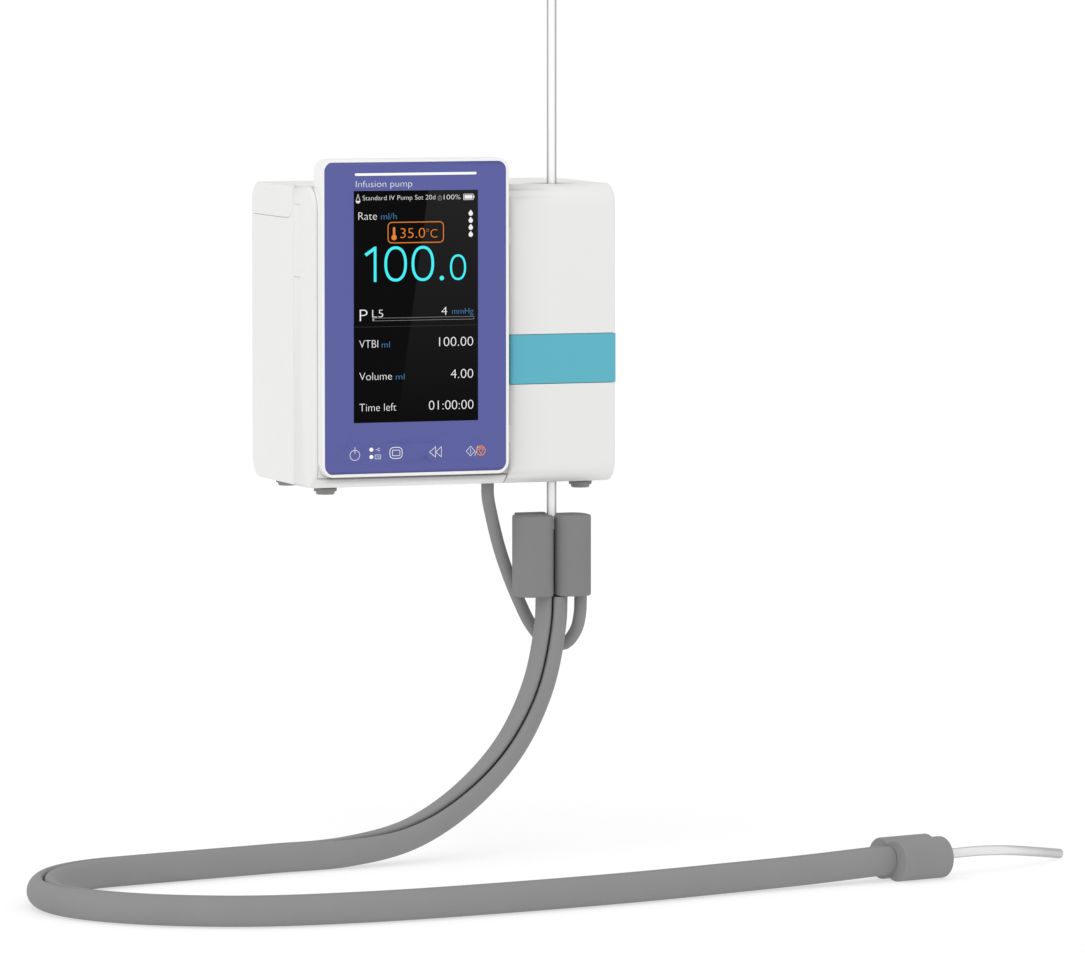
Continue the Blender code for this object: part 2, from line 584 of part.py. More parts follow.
def latch_hook():
    back, tip = -0.0908, -0.0796
    outline = [(0.0524, back), (0.0560, back), (0.0560, tip), (0.0515, tip), (0.0524, tip - 0.0010)]
    hook = prism("latch_hook", outline, "Z", HOOK_LOW, HOOK_HIGH, "steel")
    join(hook, cylinder("hook_trunnion", (HOOK_X, HOOK_Y, HOOK_LOW - 0.0020),
                        (HOOK_X, HOOK_Y, HOOK_HIGH + 0.0020), 0.0008, sides=16))
    return set_origin(hook, (HOOK_X, HOOK_Y, 0.0))


def door_hinges():
    for name, sign in (("upper", 1), ("lower", -1)):
        middle = sign * BRACKET_Z
        outline = arc((HINGE_X, HINGE_Y), BRACKET_WIDTH / 2, 180, 360, 12)
        outline += [(HINGE_X + BRACKET_WIDTH / 2, DECK_BACK_Y),
                    (HINGE_X - BRACKET_WIDTH / 2, DECK_BACK_Y)]
        bracket = prism(f"hinge_bracket_{name}", outline, "Z", middle - BRACKET_HALF,
                        middle + BRACKET_HALF, "steel")
        cut(bracket, cylinder(f"bracket_bore_{name}", (HINGE_X, HINGE_Y, middle - 0.010),
                              (HINGE_X, HINGE_Y, middle + 0.010), PIN_RADIUS + RUNNING, sides=20))
        low, high = sorted((sign * 0.0320, sign * 0.0500))
        cylinder(f"hinge_pin_{name}", (HINGE_X, HINGE_Y, low), (HINGE_X, HINGE_Y, high),
                 PIN_RADIUS, "steel", sides=20)


# ---------------------------------------------------------------- pumping mechanism
def pump_face_plate():
    plate = box("pump_face_plate", (0.0300, DECK_Y, -0.0450), (0.0620, DECK_BACK_Y, 0.0450),
                "white_plastic")
    slot_half = FINGERS * FINGER_PITCH / 2 + 0.0008
    cut(plate,
        box("face_groove", (TUBE_X - GROOVE_HALF, -0.090, -0.050),
            (TUBE_X + GROOVE_HALF, GROOVE_BACK_Y, 0.050)),
        box("finger_slot", (0.0378, -0.090, -slot_half), (0.0458, -0.078, slot_half)),
        box("bubble_slot", (0.0340, -0.090, 0.0240), (0.0496, -0.078, 0.0360)),
        box("pressure_slot", (0.0340, -0.090, -0.0360), (0.0496, -0.078, -0.0240)),
        box("hook_slot", (0.0508, -0.090, -0.0140), (0.0612, -0.078, -0.0060)))
    return plate


def tube_sensors():
    for name, low in (("bubble_sensor", 0.0243), ("pressure_sensor", -0.0357)):
        sensor = box(name, (0.0343, DECK_Y, low), (0.0493, -0.0760, low + 0.0114), "dark_plastic")
        cut(sensor, box(name + "_groove", (TUBE_X - GROOVE_HALF, -0.090, low - 0.001),
                        (TUBE_X + GROOVE_HALF, GROOVE_BACK_Y, low + 0.0124)))


def pump_fingers():
    for index in range(FINGERS):
        z = (index - (FINGERS - 1) / 2) * FINGER_PITCH
        finger = box(f"finger_{index + 1}", (0.0381, GROOVE_BACK_Y, z - 0.0024),
                     (0.0455, -0.0660, z + 0.0024), "dark_plastic")
        set_origin(finger, (TUBE_X, GROOVE_BACK_Y, z))


def mechanism_frame():
    frame = box("mechanism_frame", (0.0322, -0.0802, -0.0220), (0.0512, -0.0476, 0.0220), "aluminium")
    cut(frame, box("frame_room", (0.0342, -0.090, -0.0190), (0.0494, -0.040, 0.0190)))
    join(frame, box("motor_shelf", (0.0322, -0.0500, -0.0220), (0.0512, -0.0285, -0.0192)))
    cut(frame,
        cylinder("upper_bearing", (TUBE_X, CAM_Y, 0.015), (TUBE_X, CAM_Y, 0.025),
                 SHAFT_RADIUS + 2 * RUNNING),
        cylinder("lower_bearing", (TUBE_X, CAM_Y, -0.025), (TUBE_X, CAM_Y, -0.015),
                 SHAFT_RADIUS + 2 * RUNNING),
        cylinder("shelf_hole", (TUBE_X, MOTOR_Y, -0.025), (TUBE_X, MOTOR_Y, -0.015), 0.0030))
    return frame


def camshaft():
    """One eccentric disc behind each finger, the discs stepped evenly round the shaft."""
    shaft = cylinder("camshaft", (TUBE_X, CAM_Y, -0.0310), (TUBE_X, CAM_Y, 0.0240), SHAFT_RADIUS,
                     "steel")
    for index in range(FINGERS):
        z = (index - (FINGERS - 1) / 2) * FINGER_PITCH
        angle = math.tau * index / FINGERS
        x = TUBE_X + CAM_THROW * math.cos(angle)
        y = CAM_Y + CAM_THROW * math.sin(angle)
        join(shaft, cylinder(f"cam_{index + 1}", (x, y, z - CAM_WIDTH / 2), (x, y, z + CAM_WIDTH / 2),
                             CAM_RADIUS, sides=20))
    return set_origin(shaft, (TUBE_X, CAM_Y, 0.0))


def gear_outline(teeth, turn):
    """Straight-sided teeth, a little narrower than their gaps. turn is a share of one tooth."""
    pitch = GEAR_MODULE * teeth / 2
    tip, root = pitch + 0.9 * GEAR_MODULE, pitch - 1.2 * GEAR_MODULE
    shape = ((-0.30, root), (-0.11, tip), (0.11, tip), (0.30, root))
    outline = []
    for tooth in range(teeth):
        for share, radius in shape:
            angle = math.tau * (tooth + turn + share) / teeth
            outline.append((radius * math.cos(angle), radius * math.sin(angle)))
    return outline


def gears():
    wheel = [(TUBE_X + x, CAM_Y + y) for x, y in gear_outline(GEAR_TEETH, 0.0)]
    gear = prism("cam_gear", wheel, "Z", GEAR_LOW, GEAR_HIGH, "white_plastic")
    cut(gear, cylinder("gear_bore", (TUBE_X, CAM_Y, -0.035), (TUBE_X, CAM_Y, -0.020),
                       SHAFT_RADIUS + GAP))
    set_origin(gear, (TUBE_X, CAM_Y, 0.0))
    # the wheel has a tooth every 360/42 degrees from +X, so at +Y (90 degrees) a gap or a tooth
    # faces the pinion: 42/4 = 10.5 puts a gap there, and 14 * 3/4 = 10.5 needs half a tooth of turn
    small = [(TUBE_X + x, MOTOR_Y + y) for x, y in gear_outline(PINION_TEETH, 0.5)]
    pinion = prism("motor_pinion", small, "Z", GEAR_LOW, GEAR_HIGH, "steel")
    join(pinion, cylinder("motor_shaft", (TUBE_X, MOTOR_Y, GEAR_HIGH - 0.001),
                          (TUBE_X, MOTOR_Y, -0.0130), 0.0012, sides=16))
    set_origin(pinion, (TUBE_X, MOTOR_Y, 0.0))


def drive_motor():
    motor = cylinder("drive_motor", (TUBE_X, MOTOR_Y, -0.0189), (TUBE_X, MOTOR_Y, 0.0130),
                     MOTOR_RADIUS, "steel")
    cut(motor, cylinder("motor_bore", (TUBE_X, MOTOR_Y, -0.030), (TUBE_X, MOTOR_Y, -0.0125), 0.0015,
                        sides=16))
    return motor


# ---------------------------------------------------------------- pole clamp
def clamp_body():
    outline = [
        (CLAMP_LEFT, REAR_Y + GAP), (CLAMP_RIGHT, REAR_Y + GAP), (CLAMP_RIGHT, CLAMP_DEPTH),
        (CLAMP_ARM, CLAMP_DEPTH), (CLAMP_ARM, 0.0), (CLAMP_JAW, 0.0), (CLAMP_JAW, CLAMP_DEPTH),
        (CLAMP_LEFT, CLAMP_DEPTH),
    ]
    body = prism("clamp_body", outline, "Z", -CLAMP_HALF, CLAMP_HALF, "aluminium")
    cut(body, cylinder("clamp_bore", (0.010, SCREW_Y, 0.0), (0.045, SCREW_Y, 0.0),
                       SCREW_RADIUS + 2 * RUNNING))
    return body


def clamp_pad():
    pad = box("clamp_pad", (PAD_LEFT, SCREW_Y - 0.010, -0.013), (PAD_RIGHT, SCREW_Y + 0.010, 0.013),
              "grey_rubber", bevel=0.0010)
    return set_origin(pad, (PAD_RIGHT, SCREW_Y, 0.0))


def clamp_screw():
    """The screw with its six-lobed knob, both turning about an axis along X."""
    screw = cylinder("clamp_screw", (PAD_RIGHT + GAP, SCREW_Y, 0.0), (KNOB_LEFT + 0.002, SCREW_Y, 0.0),
                     SCREW_RADIUS, "dark_plastic")
    lobes = []
    for step in range(48):
        angle = math.tau * step / 48
        radius = KNOB_RADIUS * (0.90 + 0.10 * math.cos(6 * angle))
        lobes.append((SCREW_Y + radius * math.cos(angle), radius * math.sin(angle)))
    join(screw, prism("knob_form", lobes, "X", KNOB_LEFT, KNOB_RIGHT))
    return set_origin(screw, (KNOB_LEFT, SCREW_Y, 0.0))


# ---------------------------------------------------------------- tubing and warmer
def cable_gland():
    profile = [(0.0, 0.0060), (0.0056, 0.0060), (0.0056, 0.0030), (0.0041, 0.0030), (0.0041, 0.0),
               (0.0, 0.0)]
    return turned("cable_gland", profile, (0.0164, -0.0770, -HALF_HEIGHT), "grey_rubber", 20)


def warmer_block():
    """Two rounded lobes side by side, with the tube's slit between them at the front."""
    lobes = []
    for name, side in (("left", -1), ("right", 1)):
        x_low, x_high = sorted((TUBE_X + side * SLIT / 2, TUBE_X + side * BLOCK_HALF_WIDTH))
        outline = rounded_outline((x_low, TUBE_Y - BLOCK_HALF_DEPTH), (x_high, TUBE_Y + BLOCK_HALF_DEPTH),
                                  [BLOCK_CORNER] * 4, 6)
        lobes.append((name, outline))
    block = prism("warmer_block", lobes[0][1], "Z", BLOCK_BOTTOM, BLOCK_TOP, "grey_foam")
    join(block,
         prism("right_lobe", lobes[1][1], "Z", BLOCK_BOTTOM, BLOCK_TOP),
         box("block_web", (TUBE_X - 0.004, TUBE_Y, BLOCK_BOTTOM),
             (TUBE_X + 0.004, TUBE_Y + BLOCK_HALF_DEPTH - 0.0015, BLOCK_TOP)))
    return block


def sleeve_end_clip():
    across = Vector((-CLIP_DIRECTION.y, CLIP_DIRECTION.x, 0.0)) * (CLIP_SPACING / 2)
    end = CLIP_START + CLIP_DIRECTION * CLIP_LENGTH
    clip = cylinder("sleeve_end_clip", CLIP_START - across, end - across, CLIP_RADIUS, "grey_foam")
    join(clip, cylinder("rear_lobe", CLIP_START + across, end + across, CLIP_RADIUS))
    return clip


def cords():
    straight = [(TUBE_X, TUBE_Y, BLOCK_TOP + GAP), (TUBE_X, TUBE_Y, 0.034),
                (TUBE_X, TUBE_Y, CHAMBER_LOW - GAP)]
    tube("iv_tube", straight, TUBE_RADIUS, "clear_tube", 0.011)
    tube("iv_tube_outlet", OUTLET_ROUTE, TUBE_RADIUS, "clear_tube", 0.006)
    tube("heater_cable", CABLE_ROUTE, CABLE_RADIUS, "grey_foam", 0.006)
    tube("warmer_sleeve", SLEEVE_ROUTE, SLEEVE_RADIUS, "grey_foam", 0.017, 3)


def drip_set():
    radius, low, high = CHAMBER_RADIUS, CHAMBER_LOW, CHAMBER_HIGH
    chamber = [(0.0, high), (radius, high), (radius, high - 0.004), (radius - 0.001, high - 0.004),
               (radius - 0.001, low + 0.009), (0.0030, low + 0.003), (0.0030, low), (0.0, low)]
    turned("drip_chamber", chamber, (TUBE_X, TUBE_Y, 0.0), "clear_tube", 20)
    spike = [(0.0, SPIKE_TOP), (0.0010, SPIKE_TOP - 0.002), (0.0025, SPIKE_TOP - 0.010),
             (0.0025, high + 0.008), (0.0070, high + 0.0075), (0.0070, high + 0.006),
             (0.0030, high + 0.005), (0.0030, high + GAP), (0.0, high + GAP)]
    turned("bag_spike", spike, (TUBE_X, TUBE_Y, 0.0), "white_plastic", 20)


def build():
    rear_housing()
    front_housing()
    carry_handle()
    side_port_cover()
    feet()
    mains_inlet()
    inner_boxes()
    display_bezel()
    front_panel()
    display_inserts()
    door_shell()
    door_liner()
    pressure_plate()
    door_lever()
    latch_hook()
    door_hinges()
    pump_face_plate()
    tube_sensors()
    pump_fingers()
    mechanism_frame()
    camshaft()
    gears()
    drive_motor()
    clamp_body()
    clamp_pad()
    clamp_screw()
    cable_gland()
    warmer_block()
    sleeve_end_clip()
    cords()
    drip_set()


build()
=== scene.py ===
"""Looks of the infusion pump with its warming sleeve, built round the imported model."""

import math

import bmesh
import bpy
import numpy as np
from mathutils import Matrix, Vector


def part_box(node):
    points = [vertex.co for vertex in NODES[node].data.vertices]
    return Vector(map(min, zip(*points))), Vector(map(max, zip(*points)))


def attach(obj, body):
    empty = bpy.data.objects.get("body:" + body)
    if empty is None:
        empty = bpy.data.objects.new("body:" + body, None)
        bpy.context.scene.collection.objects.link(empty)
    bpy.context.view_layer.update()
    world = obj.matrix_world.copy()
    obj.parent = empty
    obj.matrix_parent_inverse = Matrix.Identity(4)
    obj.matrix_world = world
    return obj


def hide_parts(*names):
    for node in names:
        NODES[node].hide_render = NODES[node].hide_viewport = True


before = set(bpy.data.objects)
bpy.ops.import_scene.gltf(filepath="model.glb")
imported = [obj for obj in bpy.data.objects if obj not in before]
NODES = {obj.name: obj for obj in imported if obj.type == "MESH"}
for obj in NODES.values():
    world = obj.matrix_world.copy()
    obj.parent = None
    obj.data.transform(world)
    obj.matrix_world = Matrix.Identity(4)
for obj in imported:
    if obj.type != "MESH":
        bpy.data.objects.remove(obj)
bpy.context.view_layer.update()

X, Y, Z = (1, 0, 0), (0, 1, 0), (0, 0, 1)

# The case, the display module that stands proud of it, and the clear tube, in metres.
HALF_WIDTH, HALF_HEIGHT = 0.066, 0.062
FRONT_Y, REAR_Y, CORNER = -0.0965, -0.0125, 0.009
DISPLAY_LOW, DISPLAY_HIGH, DISPLAY_CORNER = (-0.0635, -0.0569), (0.0176, 0.0736), 0.0050
FACE_Y = -0.1005                      # front face of the display's panel
SCREEN_SINK = 0.00008                 # the screen's marks lie this far behind that face
SCREEN_LEFT, SCREEN_TOP = -0.04993, 0.06052
TUBE_X, TUBE_Y = 0.0418, -0.0851

CAMERA_AT, CAMERA_DOWN, CAMERA_TURN, LENS_MM = (-1.0101, -2.9941, 0.1796), 4.43, 19.81, 247.2
SKY_STRENGTH, KEY_FROM, KEY_STRENGTH, KEY_SPREAD = 0.80, (-0.45, -0.36, 0.80), 0.80, 80.0
FLOOR_Z, FLOOR_HALF, FLOOR_GREY, FLOOR_GLOW = -0.21666, 60.0, 0.45, 0.575


def add_object(name, data):
    item = bpy.data.objects.new(name, data)
    bpy.context.scene.collection.objects.link(item)
    return item


def mesh_of(form):
    mesh = bpy.data.meshes.new("mesh")
    form.to_mesh(mesh)
    form.free()
    return mesh


def baked_mesh(item):
    """The mesh of an object with its modifiers or its curve's fill worked out."""
    bpy.context.view_layer.update()
    done = item.evaluated_get(bpy.context.evaluated_depsgraph_get())
    return bpy.data.meshes.new_from_object(done)


# ---- camera, light and floor
def add_camera():
    data = bpy.data.cameras.new("camera")
    data.sensor_width = 36.0
    data.lens = LENS_MM
    data.clip_end = 200.0               # the floor runs well past the object
    camera = add_object("camera", data)
    camera.location = CAMERA_AT
    camera.rotation_euler = (math.radians(90 - CAMERA_DOWN), 0.0, math.radians(-CAMERA_TURN))
    bpy.context.scene.camera = camera


def add_key_light():
    """One broad, soft light from the upper left."""
    data = bpy.data.lights.new("soft_key", "SUN")
    data.energy = KEY_STRENGTH
    data.angle = math.radians(KEY_SPREAD)
    light = add_object("soft_key", data)
    light.rotation_euler = (-Vector(KEY_FROM)).to_track_quat("-Z", "Y").to_euler()


def add_sky():
    world = bpy.data.worlds.new("studio")
    world.use_nodes = True
    world.node_tree.nodes["Background"].inputs["Color"].default_value = (1, 1, 1, 1)
    world.node_tree.nodes["Background"].inputs["Strength"].default_value = SKY_STRENGTH
    bpy.context.scene.world = world
    bpy.context.scene.view_settings.view_transform = "Standard"


def add_floor():
    """A plain pale floor whose own glow carries it to white."""
    form = bmesh.new()
    bmesh.ops.create_grid(form, x_segments=1, y_segments=1, size=FLOOR_HALF)
    floor = add_object("floor", mesh_of(form))
    floor.location = (0.0, 0.0, FLOOR_Z)
    grey = (FLOOR_GREY,) * 3
    surface = Surface("floor_white", grey, 0.8, 0.0, Emission_Strength=FLOOR_GLOW)
    surface.shader.inputs["Emission Color"].default_value = (1, 1, 1, 1)
    floor.data.materials.append(surface.material)


# ---- materials
class Surface:
    """A Principled material with a node tree that is quick to add to."""

    def __init__(self, name, colour, roughness, specular=0.5, **sockets):
        self.material = bpy.data.materials.new(name)
        self.material.use_nodes = True
        self.tree = self.material.node_tree
        self.shader = self.tree.nodes["Principled BSDF"]
        self.shader.inputs["Base Color"].default_value = (*colour, 1.0)
        self.shader.inputs["Roughness"].default_value = roughness
        self.shader.inputs["Specular IOR Level"].default_value = specular
        for socket, value in sockets.items():
            self.shader.inputs[socket.replace("_", " ")].default_value = value
        self.colour = colour
        self.coordinates = self.tree.nodes.new("ShaderNodeTexCoord").outputs["Object"]
        self.normal = None

    def link(self, start, end):
        self.tree.links.new(start, end)

    def node(self, kind, **inputs):
        """A new node, its inputs given as values or as other nodes' outputs."""
        node = self.tree.nodes.new("ShaderNode" + kind)
        for name, value in inputs.items():
            socket = node.inputs[name.replace("_", " ")]
            if isinstance(value, bpy.types.NodeSocket):
                self.link(value, socket)
            else:
                socket.default_value = value
        return node

    def noise(self, scale, detail, stretch=(1, 1, 1)):
        stretched = self.node("Mapping", Scale=stretch, Vector=self.coordinates).outputs["Vector"]
        return self.node("TexNoise", Scale=scale, Detail=detail, Vector=stretched).outputs["Fac"]

    def cells(self, scale):
        return self.node("TexVoronoi", Scale=scale, Vector=self.coordinates).outputs["Distance"]

    def bump(self, height, distance, strength):
        bump = self.node("Bump", Strength=strength, Distance=distance, Height=height)
        if self.normal:
            self.link(self.normal, bump.inputs["Normal"])
        self.normal = bump.outputs["Normal"]
        self.link(self.normal, self.shader.inputs["Normal"])
        return self

    def ramp(self, fac, stops):
        ramp = self.node("ValToRGB", Fac=fac)
        elements = ramp.color_ramp.elements
        while len(elements) < len(stops):
            elements.new(0.5)
        for element, (place, colour) in zip(elements, stops):
            element.position = place
            element.color = (*colour, 1.0)
        return ramp.outputs["Color"]

    def vary_colour(self, scale, amount):
        """The base colour drifts by this share either way, over patches of the given scale."""
        low, high = ([c * k for c in self.colour] for k in (1 - amount, 1 + amount))
        colour = self.ramp(self.noise(scale, 3.0), [(0.35, low), (0.65, high)])
        self.link(colour, self.shader.inputs["Base Color"])
        return self

    def shade_hollows(self, distance, stops, between=None):
        """Painted shade: the base colour darkens in hollows, fading in between two places along X
        if given.
        """
        hollow = self.node("AmbientOcclusion", Distance=distance)
        hollow.samples = 24
        shade = self.ramp(hollow.outputs["AO"], [(at, (share,) * 3) for at, share in stops])
        mix = self.node("Mix", Factor=1.0)
        mix.data_type = "RGBA"
        mix.blend_type = "MULTIPLY"
        if between is not None:
            split = self.node("SeparateXYZ", Vector=self.coordinates)
            beyond = self.node("MapRange", Value=split.outputs["X"], From_Min=between[0],
                               From_Max=between[1])
            self.link(beyond.outputs["Result"], mix.inputs["Factor"])
        source = self.shader.inputs["Base Color"].links[0].from_socket
        colour_a, colour_b, result = mix.inputs[6], mix.inputs[7], mix.outputs[2]
        self.link(source, colour_a)
        self.link(shade, colour_b)
        self.link(result, self.shader.inputs["Base Color"])
        return self

    def vary_roughness(self, scale, low, high):
        rough = self.ramp(self.noise(scale, 5.0), [(0.3, (low,) * 3), (0.7, (high,) * 3)])
        self.link(rough, self.shader.inputs["Roughness"])
        return self


def moulded(name, colour, roughness, specular=0.5, grain=0.00002):
    """Injection-moulded plastic with a fine spark-eroded grain."""
    surface = Surface(name, colour, roughness, specular)
    surface.vary_colour(14.0, 0.006).vary_roughness(60.0, roughness * 0.92, roughness * 1.08)
    return surface.bump(surface.noise(2600.0, 2.0), grain, 0.5)


def glowing(name, colour):
    surface = Surface(name, (0.0, 0.0, 0.0), 0.5, 0.0, Emission_Strength=1.0)
    surface.shader.inputs["Emission Color"].default_value = (*colour, 1.0)
    return surface


def brushed(name, colour, roughness, stretch=(1, 1, 40)):
    surface = Surface(name, colour, roughness, Metallic=1.0)
    surface.vary_colour(30.0, 0.03).vary_roughness(120.0, roughness * 0.8, roughness * 1.2)
    return surface.bump(surface.noise(900.0, 3.0, stretch), 0.00002, 0.4)


def clear_tubing(name, painted_greys):
    """Soft clear tubing, paler along its middle and greyer towards its outline by the way its
    surface faces: painted light and shade standing in for refraction.
    """
    surface = Surface(name, (0.85, 0.85, 0.85), 0.12)
    facing = surface.node("LayerWeight", Blend=0.5).outputs["Facing"]
    shade = surface.ramp(facing, [(at, (grey,) * 3) for at, grey in painted_greys])
    surface.link(shade, surface.shader.inputs["Base Color"])
    return surface.bump(surface.noise(300.0, 2.0), 0.00001, 0.3)


def clear_plastic(name, colour, roughness, density):
    """Clear plastic that greys where the line of sight runs through more of its wall."""
    surface = Surface(name, colour, roughness, IOR=1.42, Transmission_Weight=1.0)
    surface.vary_colour(120.0, 0.01)
    absorb = surface.node("VolumeAbsorption", Color=(0.30, 0.30, 0.30, 1.0), Density=density)
    output = surface.tree.nodes["Material Output"]
    surface.link(absorb.outputs["Volume"], output.inputs["Volume"])
    return surface


def screen_surface():
    """The lit display: near black, with a painted reflection over its right, a slanted sheen that
    fades downwards.
    """
    surface = Surface("screen_glass_painted_sheen", (0.0, 0.0, 0.0), 0.3, 0.0, Emission_Strength=1.0)
    split = surface.node("SeparateXYZ", Vector=surface.coordinates)

    def combine(kind, a, b, clamp=False):
        node = surface.node("Math")
        node.operation = kind
        node.use_clamp = clamp
        for socket, value in zip(node.inputs, (a, b)):
            if isinstance(value, float):
                socket.default_value = value
            else:
                surface.link(value, socket)
        return node.outputs["Value"]

    # Painted reflection: a brighter band of glow over the screen's right, leaning with height and
    # fading out downwards.
    slant, painted_sheen_left, edge, painted_sheen_foot, rise = -0.142, 0.0263, 2500.0, 0.036, 10.2
    lean = combine("MULTIPLY", split.outputs["Z"], slant)
    side = combine("ADD", split.outputs["X"], painted_sheen_left)
    inside = combine("MULTIPLY", combine("ADD", side, lean), edge, True)
    height = combine("MULTIPLY", combine("ADD", split.outputs["Z"], painted_sheen_foot), rise, True)
    amount = combine("MULTIPLY", inside, height)
    colour = surface.ramp(amount, [(0.0, (0.0048,) * 3), (1.0, (0.0180,) * 3)])
    surface.link(colour, surface.shader.inputs["Emission Color"])
    return surface


def make_materials():
    white = (0.815, 0.815, 0.805)
    # Painted shade: the door's and the case front's copies of the white darken in hollows, beside
    # the display module and under it.
    painted_shade_by_door = [(0.50, 0.78), (0.85, 0.86), (0.95, 0.94), (1.0, 1.0)]
    painted_shadow_under_display = [(0.60, 0.25), (0.77, 0.33), (0.87, 0.48), (0.95, 0.66), (0.985, 0.80),
                     (1.0, 1.0)]
    surfaces = {
        "white": moulded("white_plastic", white, 0.42, 0.35),
        "white_door_painted_shade": moulded("white_door_painted_shade", white, 0.42, 0.35).shade_hollows(0.020, painted_shade_by_door),
        "white_front_painted_shade": moulded("white_front_painted_shade", white, 0.42, 0.35).shade_hollows(
            0.012, painted_shadow_under_display, (-0.0645, -0.0585)),
        "white_trim": moulded("white_trim", (0.87, 0.87, 0.86), 0.35, 0.35),
        # A whiter copy of the bezel's white: a painted highlight on the rim round the panel, and
        # painted light in the concave fillet beside the display.
        "rim": moulded("white_rim_painted_light", (0.90, 0.90, 0.89), 0.35, 0.3),
        "panel": moulded("blue_panel", (0.099, 0.110, 0.345), 0.22, 0.25, 0.000004),
        "teal": moulded("teal_plastic", (0.107, 0.452, 0.560), 0.38, 0.3),
        "screen": screen_surface(),
        "dark": moulded("dark_plastic", (0.022, 0.022, 0.024), 0.5),
        "white_print": moulded("printed_white", (0.86, 0.86, 0.87), 0.5),
        "orange_print": moulded("printed_orange", (0.86, 0.27, 0.01), 0.5),
        "steel": brushed("steel", (0.56, 0.57, 0.58), 0.30),
        "aluminium": brushed("aluminium", (0.70, 0.71, 0.72), 0.42, (40, 1, 1)),
        "board": moulded("circuit_board", (0.012, 0.100, 0.040), 0.5),
        "battery": moulded("battery_wrap", (0.05, 0.08, 0.25), 0.35),
        # The tubes' greys by facing are painted refraction: light along the middle, shade at the
        # outline.
        "tube": clear_tubing("clear_tubing", ((0.0, 1.0), (0.08, 0.97), (0.20, 0.82),
                                              (0.38, 0.40), (0.50, 0.30), (0.90, 0.50))),
        "lying_tube": clear_tubing("clear_outlet", ((0.0, 0.84), (0.40, 0.80), (0.52, 0.64),
                                                    (0.68, 0.36), (0.90, 0.40))),
        "bore": Surface("tube_bore", (0.95, 0.95, 0.95), 0.5, 0.2).vary_colour(60.0, 0.004),
        "chamber": clear_plastic("clear_chamber", (0.96, 0.97, 0.97), 0.03, 60.0),
        "fluid": clear_plastic("infusion_fluid", (0.97, 0.98, 0.98), 0.0, 4.0),
    }
    for key, name, colour in (("white_lit", "icon_white", (0.88, 0.88, 0.90)),
                              ("bright_white", "bar_white", (1.0, 1.0, 1.0)),
                              ("grey_lit", "screen_grey", (0.32, 0.32, 0.32)),
                              ("rule_lit", "screen_rule", (0.045, 0.045, 0.045)),
                              ("cyan_lit", "screen_cyan", (0.070, 0.880, 0.930)),
                              ("blue_lit", "screen_blue", (0.075, 0.240, 0.480)),
                              ("orange_lit", "screen_orange", (0.830, 0.235, 0.030))):
        surfaces[key] = glowing(name, colour)
    for name, grey in (("foam", 0.262), ("dense_foam", 0.226)):
        foam = Surface("grey_" + name, (grey, grey, grey), 0.78, 0.3).vary_colour(40.0, 0.015)
        foam.bump(foam.cells(2600.0), 0.00003, 0.35).bump(foam.noise(260.0, 4.0), 0.00006, 0.3)
        surfaces[name] = foam
    rubber = Surface("grey_rubber", (0.255, 0.255, 0.255), 0.70, 0.3).vary_colour(60.0, 0.03)
    surfaces["rubber"] = rubber.bump(rubber.noise(1500.0, 3.0), 0.00004, 0.5)
    return {name: surface.material for name, surface in surfaces.items()}


add_camera()
add_sky()
add_key_light()
add_floor()
MATERIALS = make_materials()


# ---- pieces
def place(name, mesh, material, *replaces, body="pump"):
    """A visible piece that rides on a body and stands for the CAD nodes it replaces."""
    mesh.name = name
    mesh.materials.clear()
    mesh.materials.append(MATERIALS[material])
    piece = add_object(name, mesh)
    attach(piece, body)
    if replaces:
        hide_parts(*replaces)
    return piece


def paint(material, *nodes):
    for node in nodes:
        target = NODES[node]
        if not target.material_slots:
            target.data.materials.append(MATERIALS[material])
        for slot in target.material_slots:
            slot.material = MATERIALS[material]


def form_from(mesh, merge):
    """An editable form of a mesh, its points joined where they are nearer than merge."""
    form = bmesh.new()
    form.from_mesh(mesh)
    bmesh.ops.remove_doubles(form, verts=form.verts, dist=merge)
    return form


def finish_mesh(form, angle=30.0):
    """The mesh of a form, smooth but for edges sharper than the angle."""
    bmesh.ops.recalc_face_normals(form, faces=form.faces)
    mesh = mesh_of(form)
    mesh.shade_smooth()
    mesh.set_sharp_from_angle(angle=math.radians(angle))
    return mesh


def even_shading(piece):
    weigh = piece.modifiers.new("even_shading", "WEIGHTED_NORMAL")
    weigh.keep_sharp = True


def joined(meshes):
    """One mesh out of several."""
    form = bmesh.new()
    for mesh in meshes:
        form.from_mesh(mesh)
        bpy.data.meshes.remove(mesh)
    return mesh_of(form)


# ---- outlines and lofts
def arc(centre, radius, first, last, steps):
    angles = np.radians(np.linspace(first, last, steps + 1))
    return [(centre[0] + radius * math.cos(a), centre[1] + radius * math.sin(a)) for a in angles]


def rounded(low, high, radius, steps):
    (u0, v0), (u1, v1) = low, high
    return (arc((u0 + radius, v0 + radius), radius, 180, 270, steps)
            + arc((u1 - radius, v0 + radius), radius, 270, 360, steps)
            + arc((u1 - radius, v1 - radius), radius, 0, 90, steps)
            + arc((u0 + radius, v1 - radius), radius, 90, 180, steps))


def mirrored(points):
    """The points run backwards on the other side of u = 0."""
    return [(-u, v) for u, v in reversed(points)]


def circle(centre, radius, steps):
    return arc(centre, radius, 0, 360 - 360 / steps, steps - 1)


def inset(outline, amount):
    """The anticlockwise outline moved inwards, or outwards by a negative amount."""
    points = np.array(outline, float)
    run = np.roll(points, -1, axis=0) - points
    run /= np.linalg.norm(run, axis=1)[:, None]
    normal = np.column_stack([-run[:, 1], run[:, 0]])
    before = np.roll(normal, 1, axis=0)
    share = 1 + np.sum(normal * before, axis=1)
    return points + (normal + before) * (amount / np.maximum(share, 0.3))[:, None]


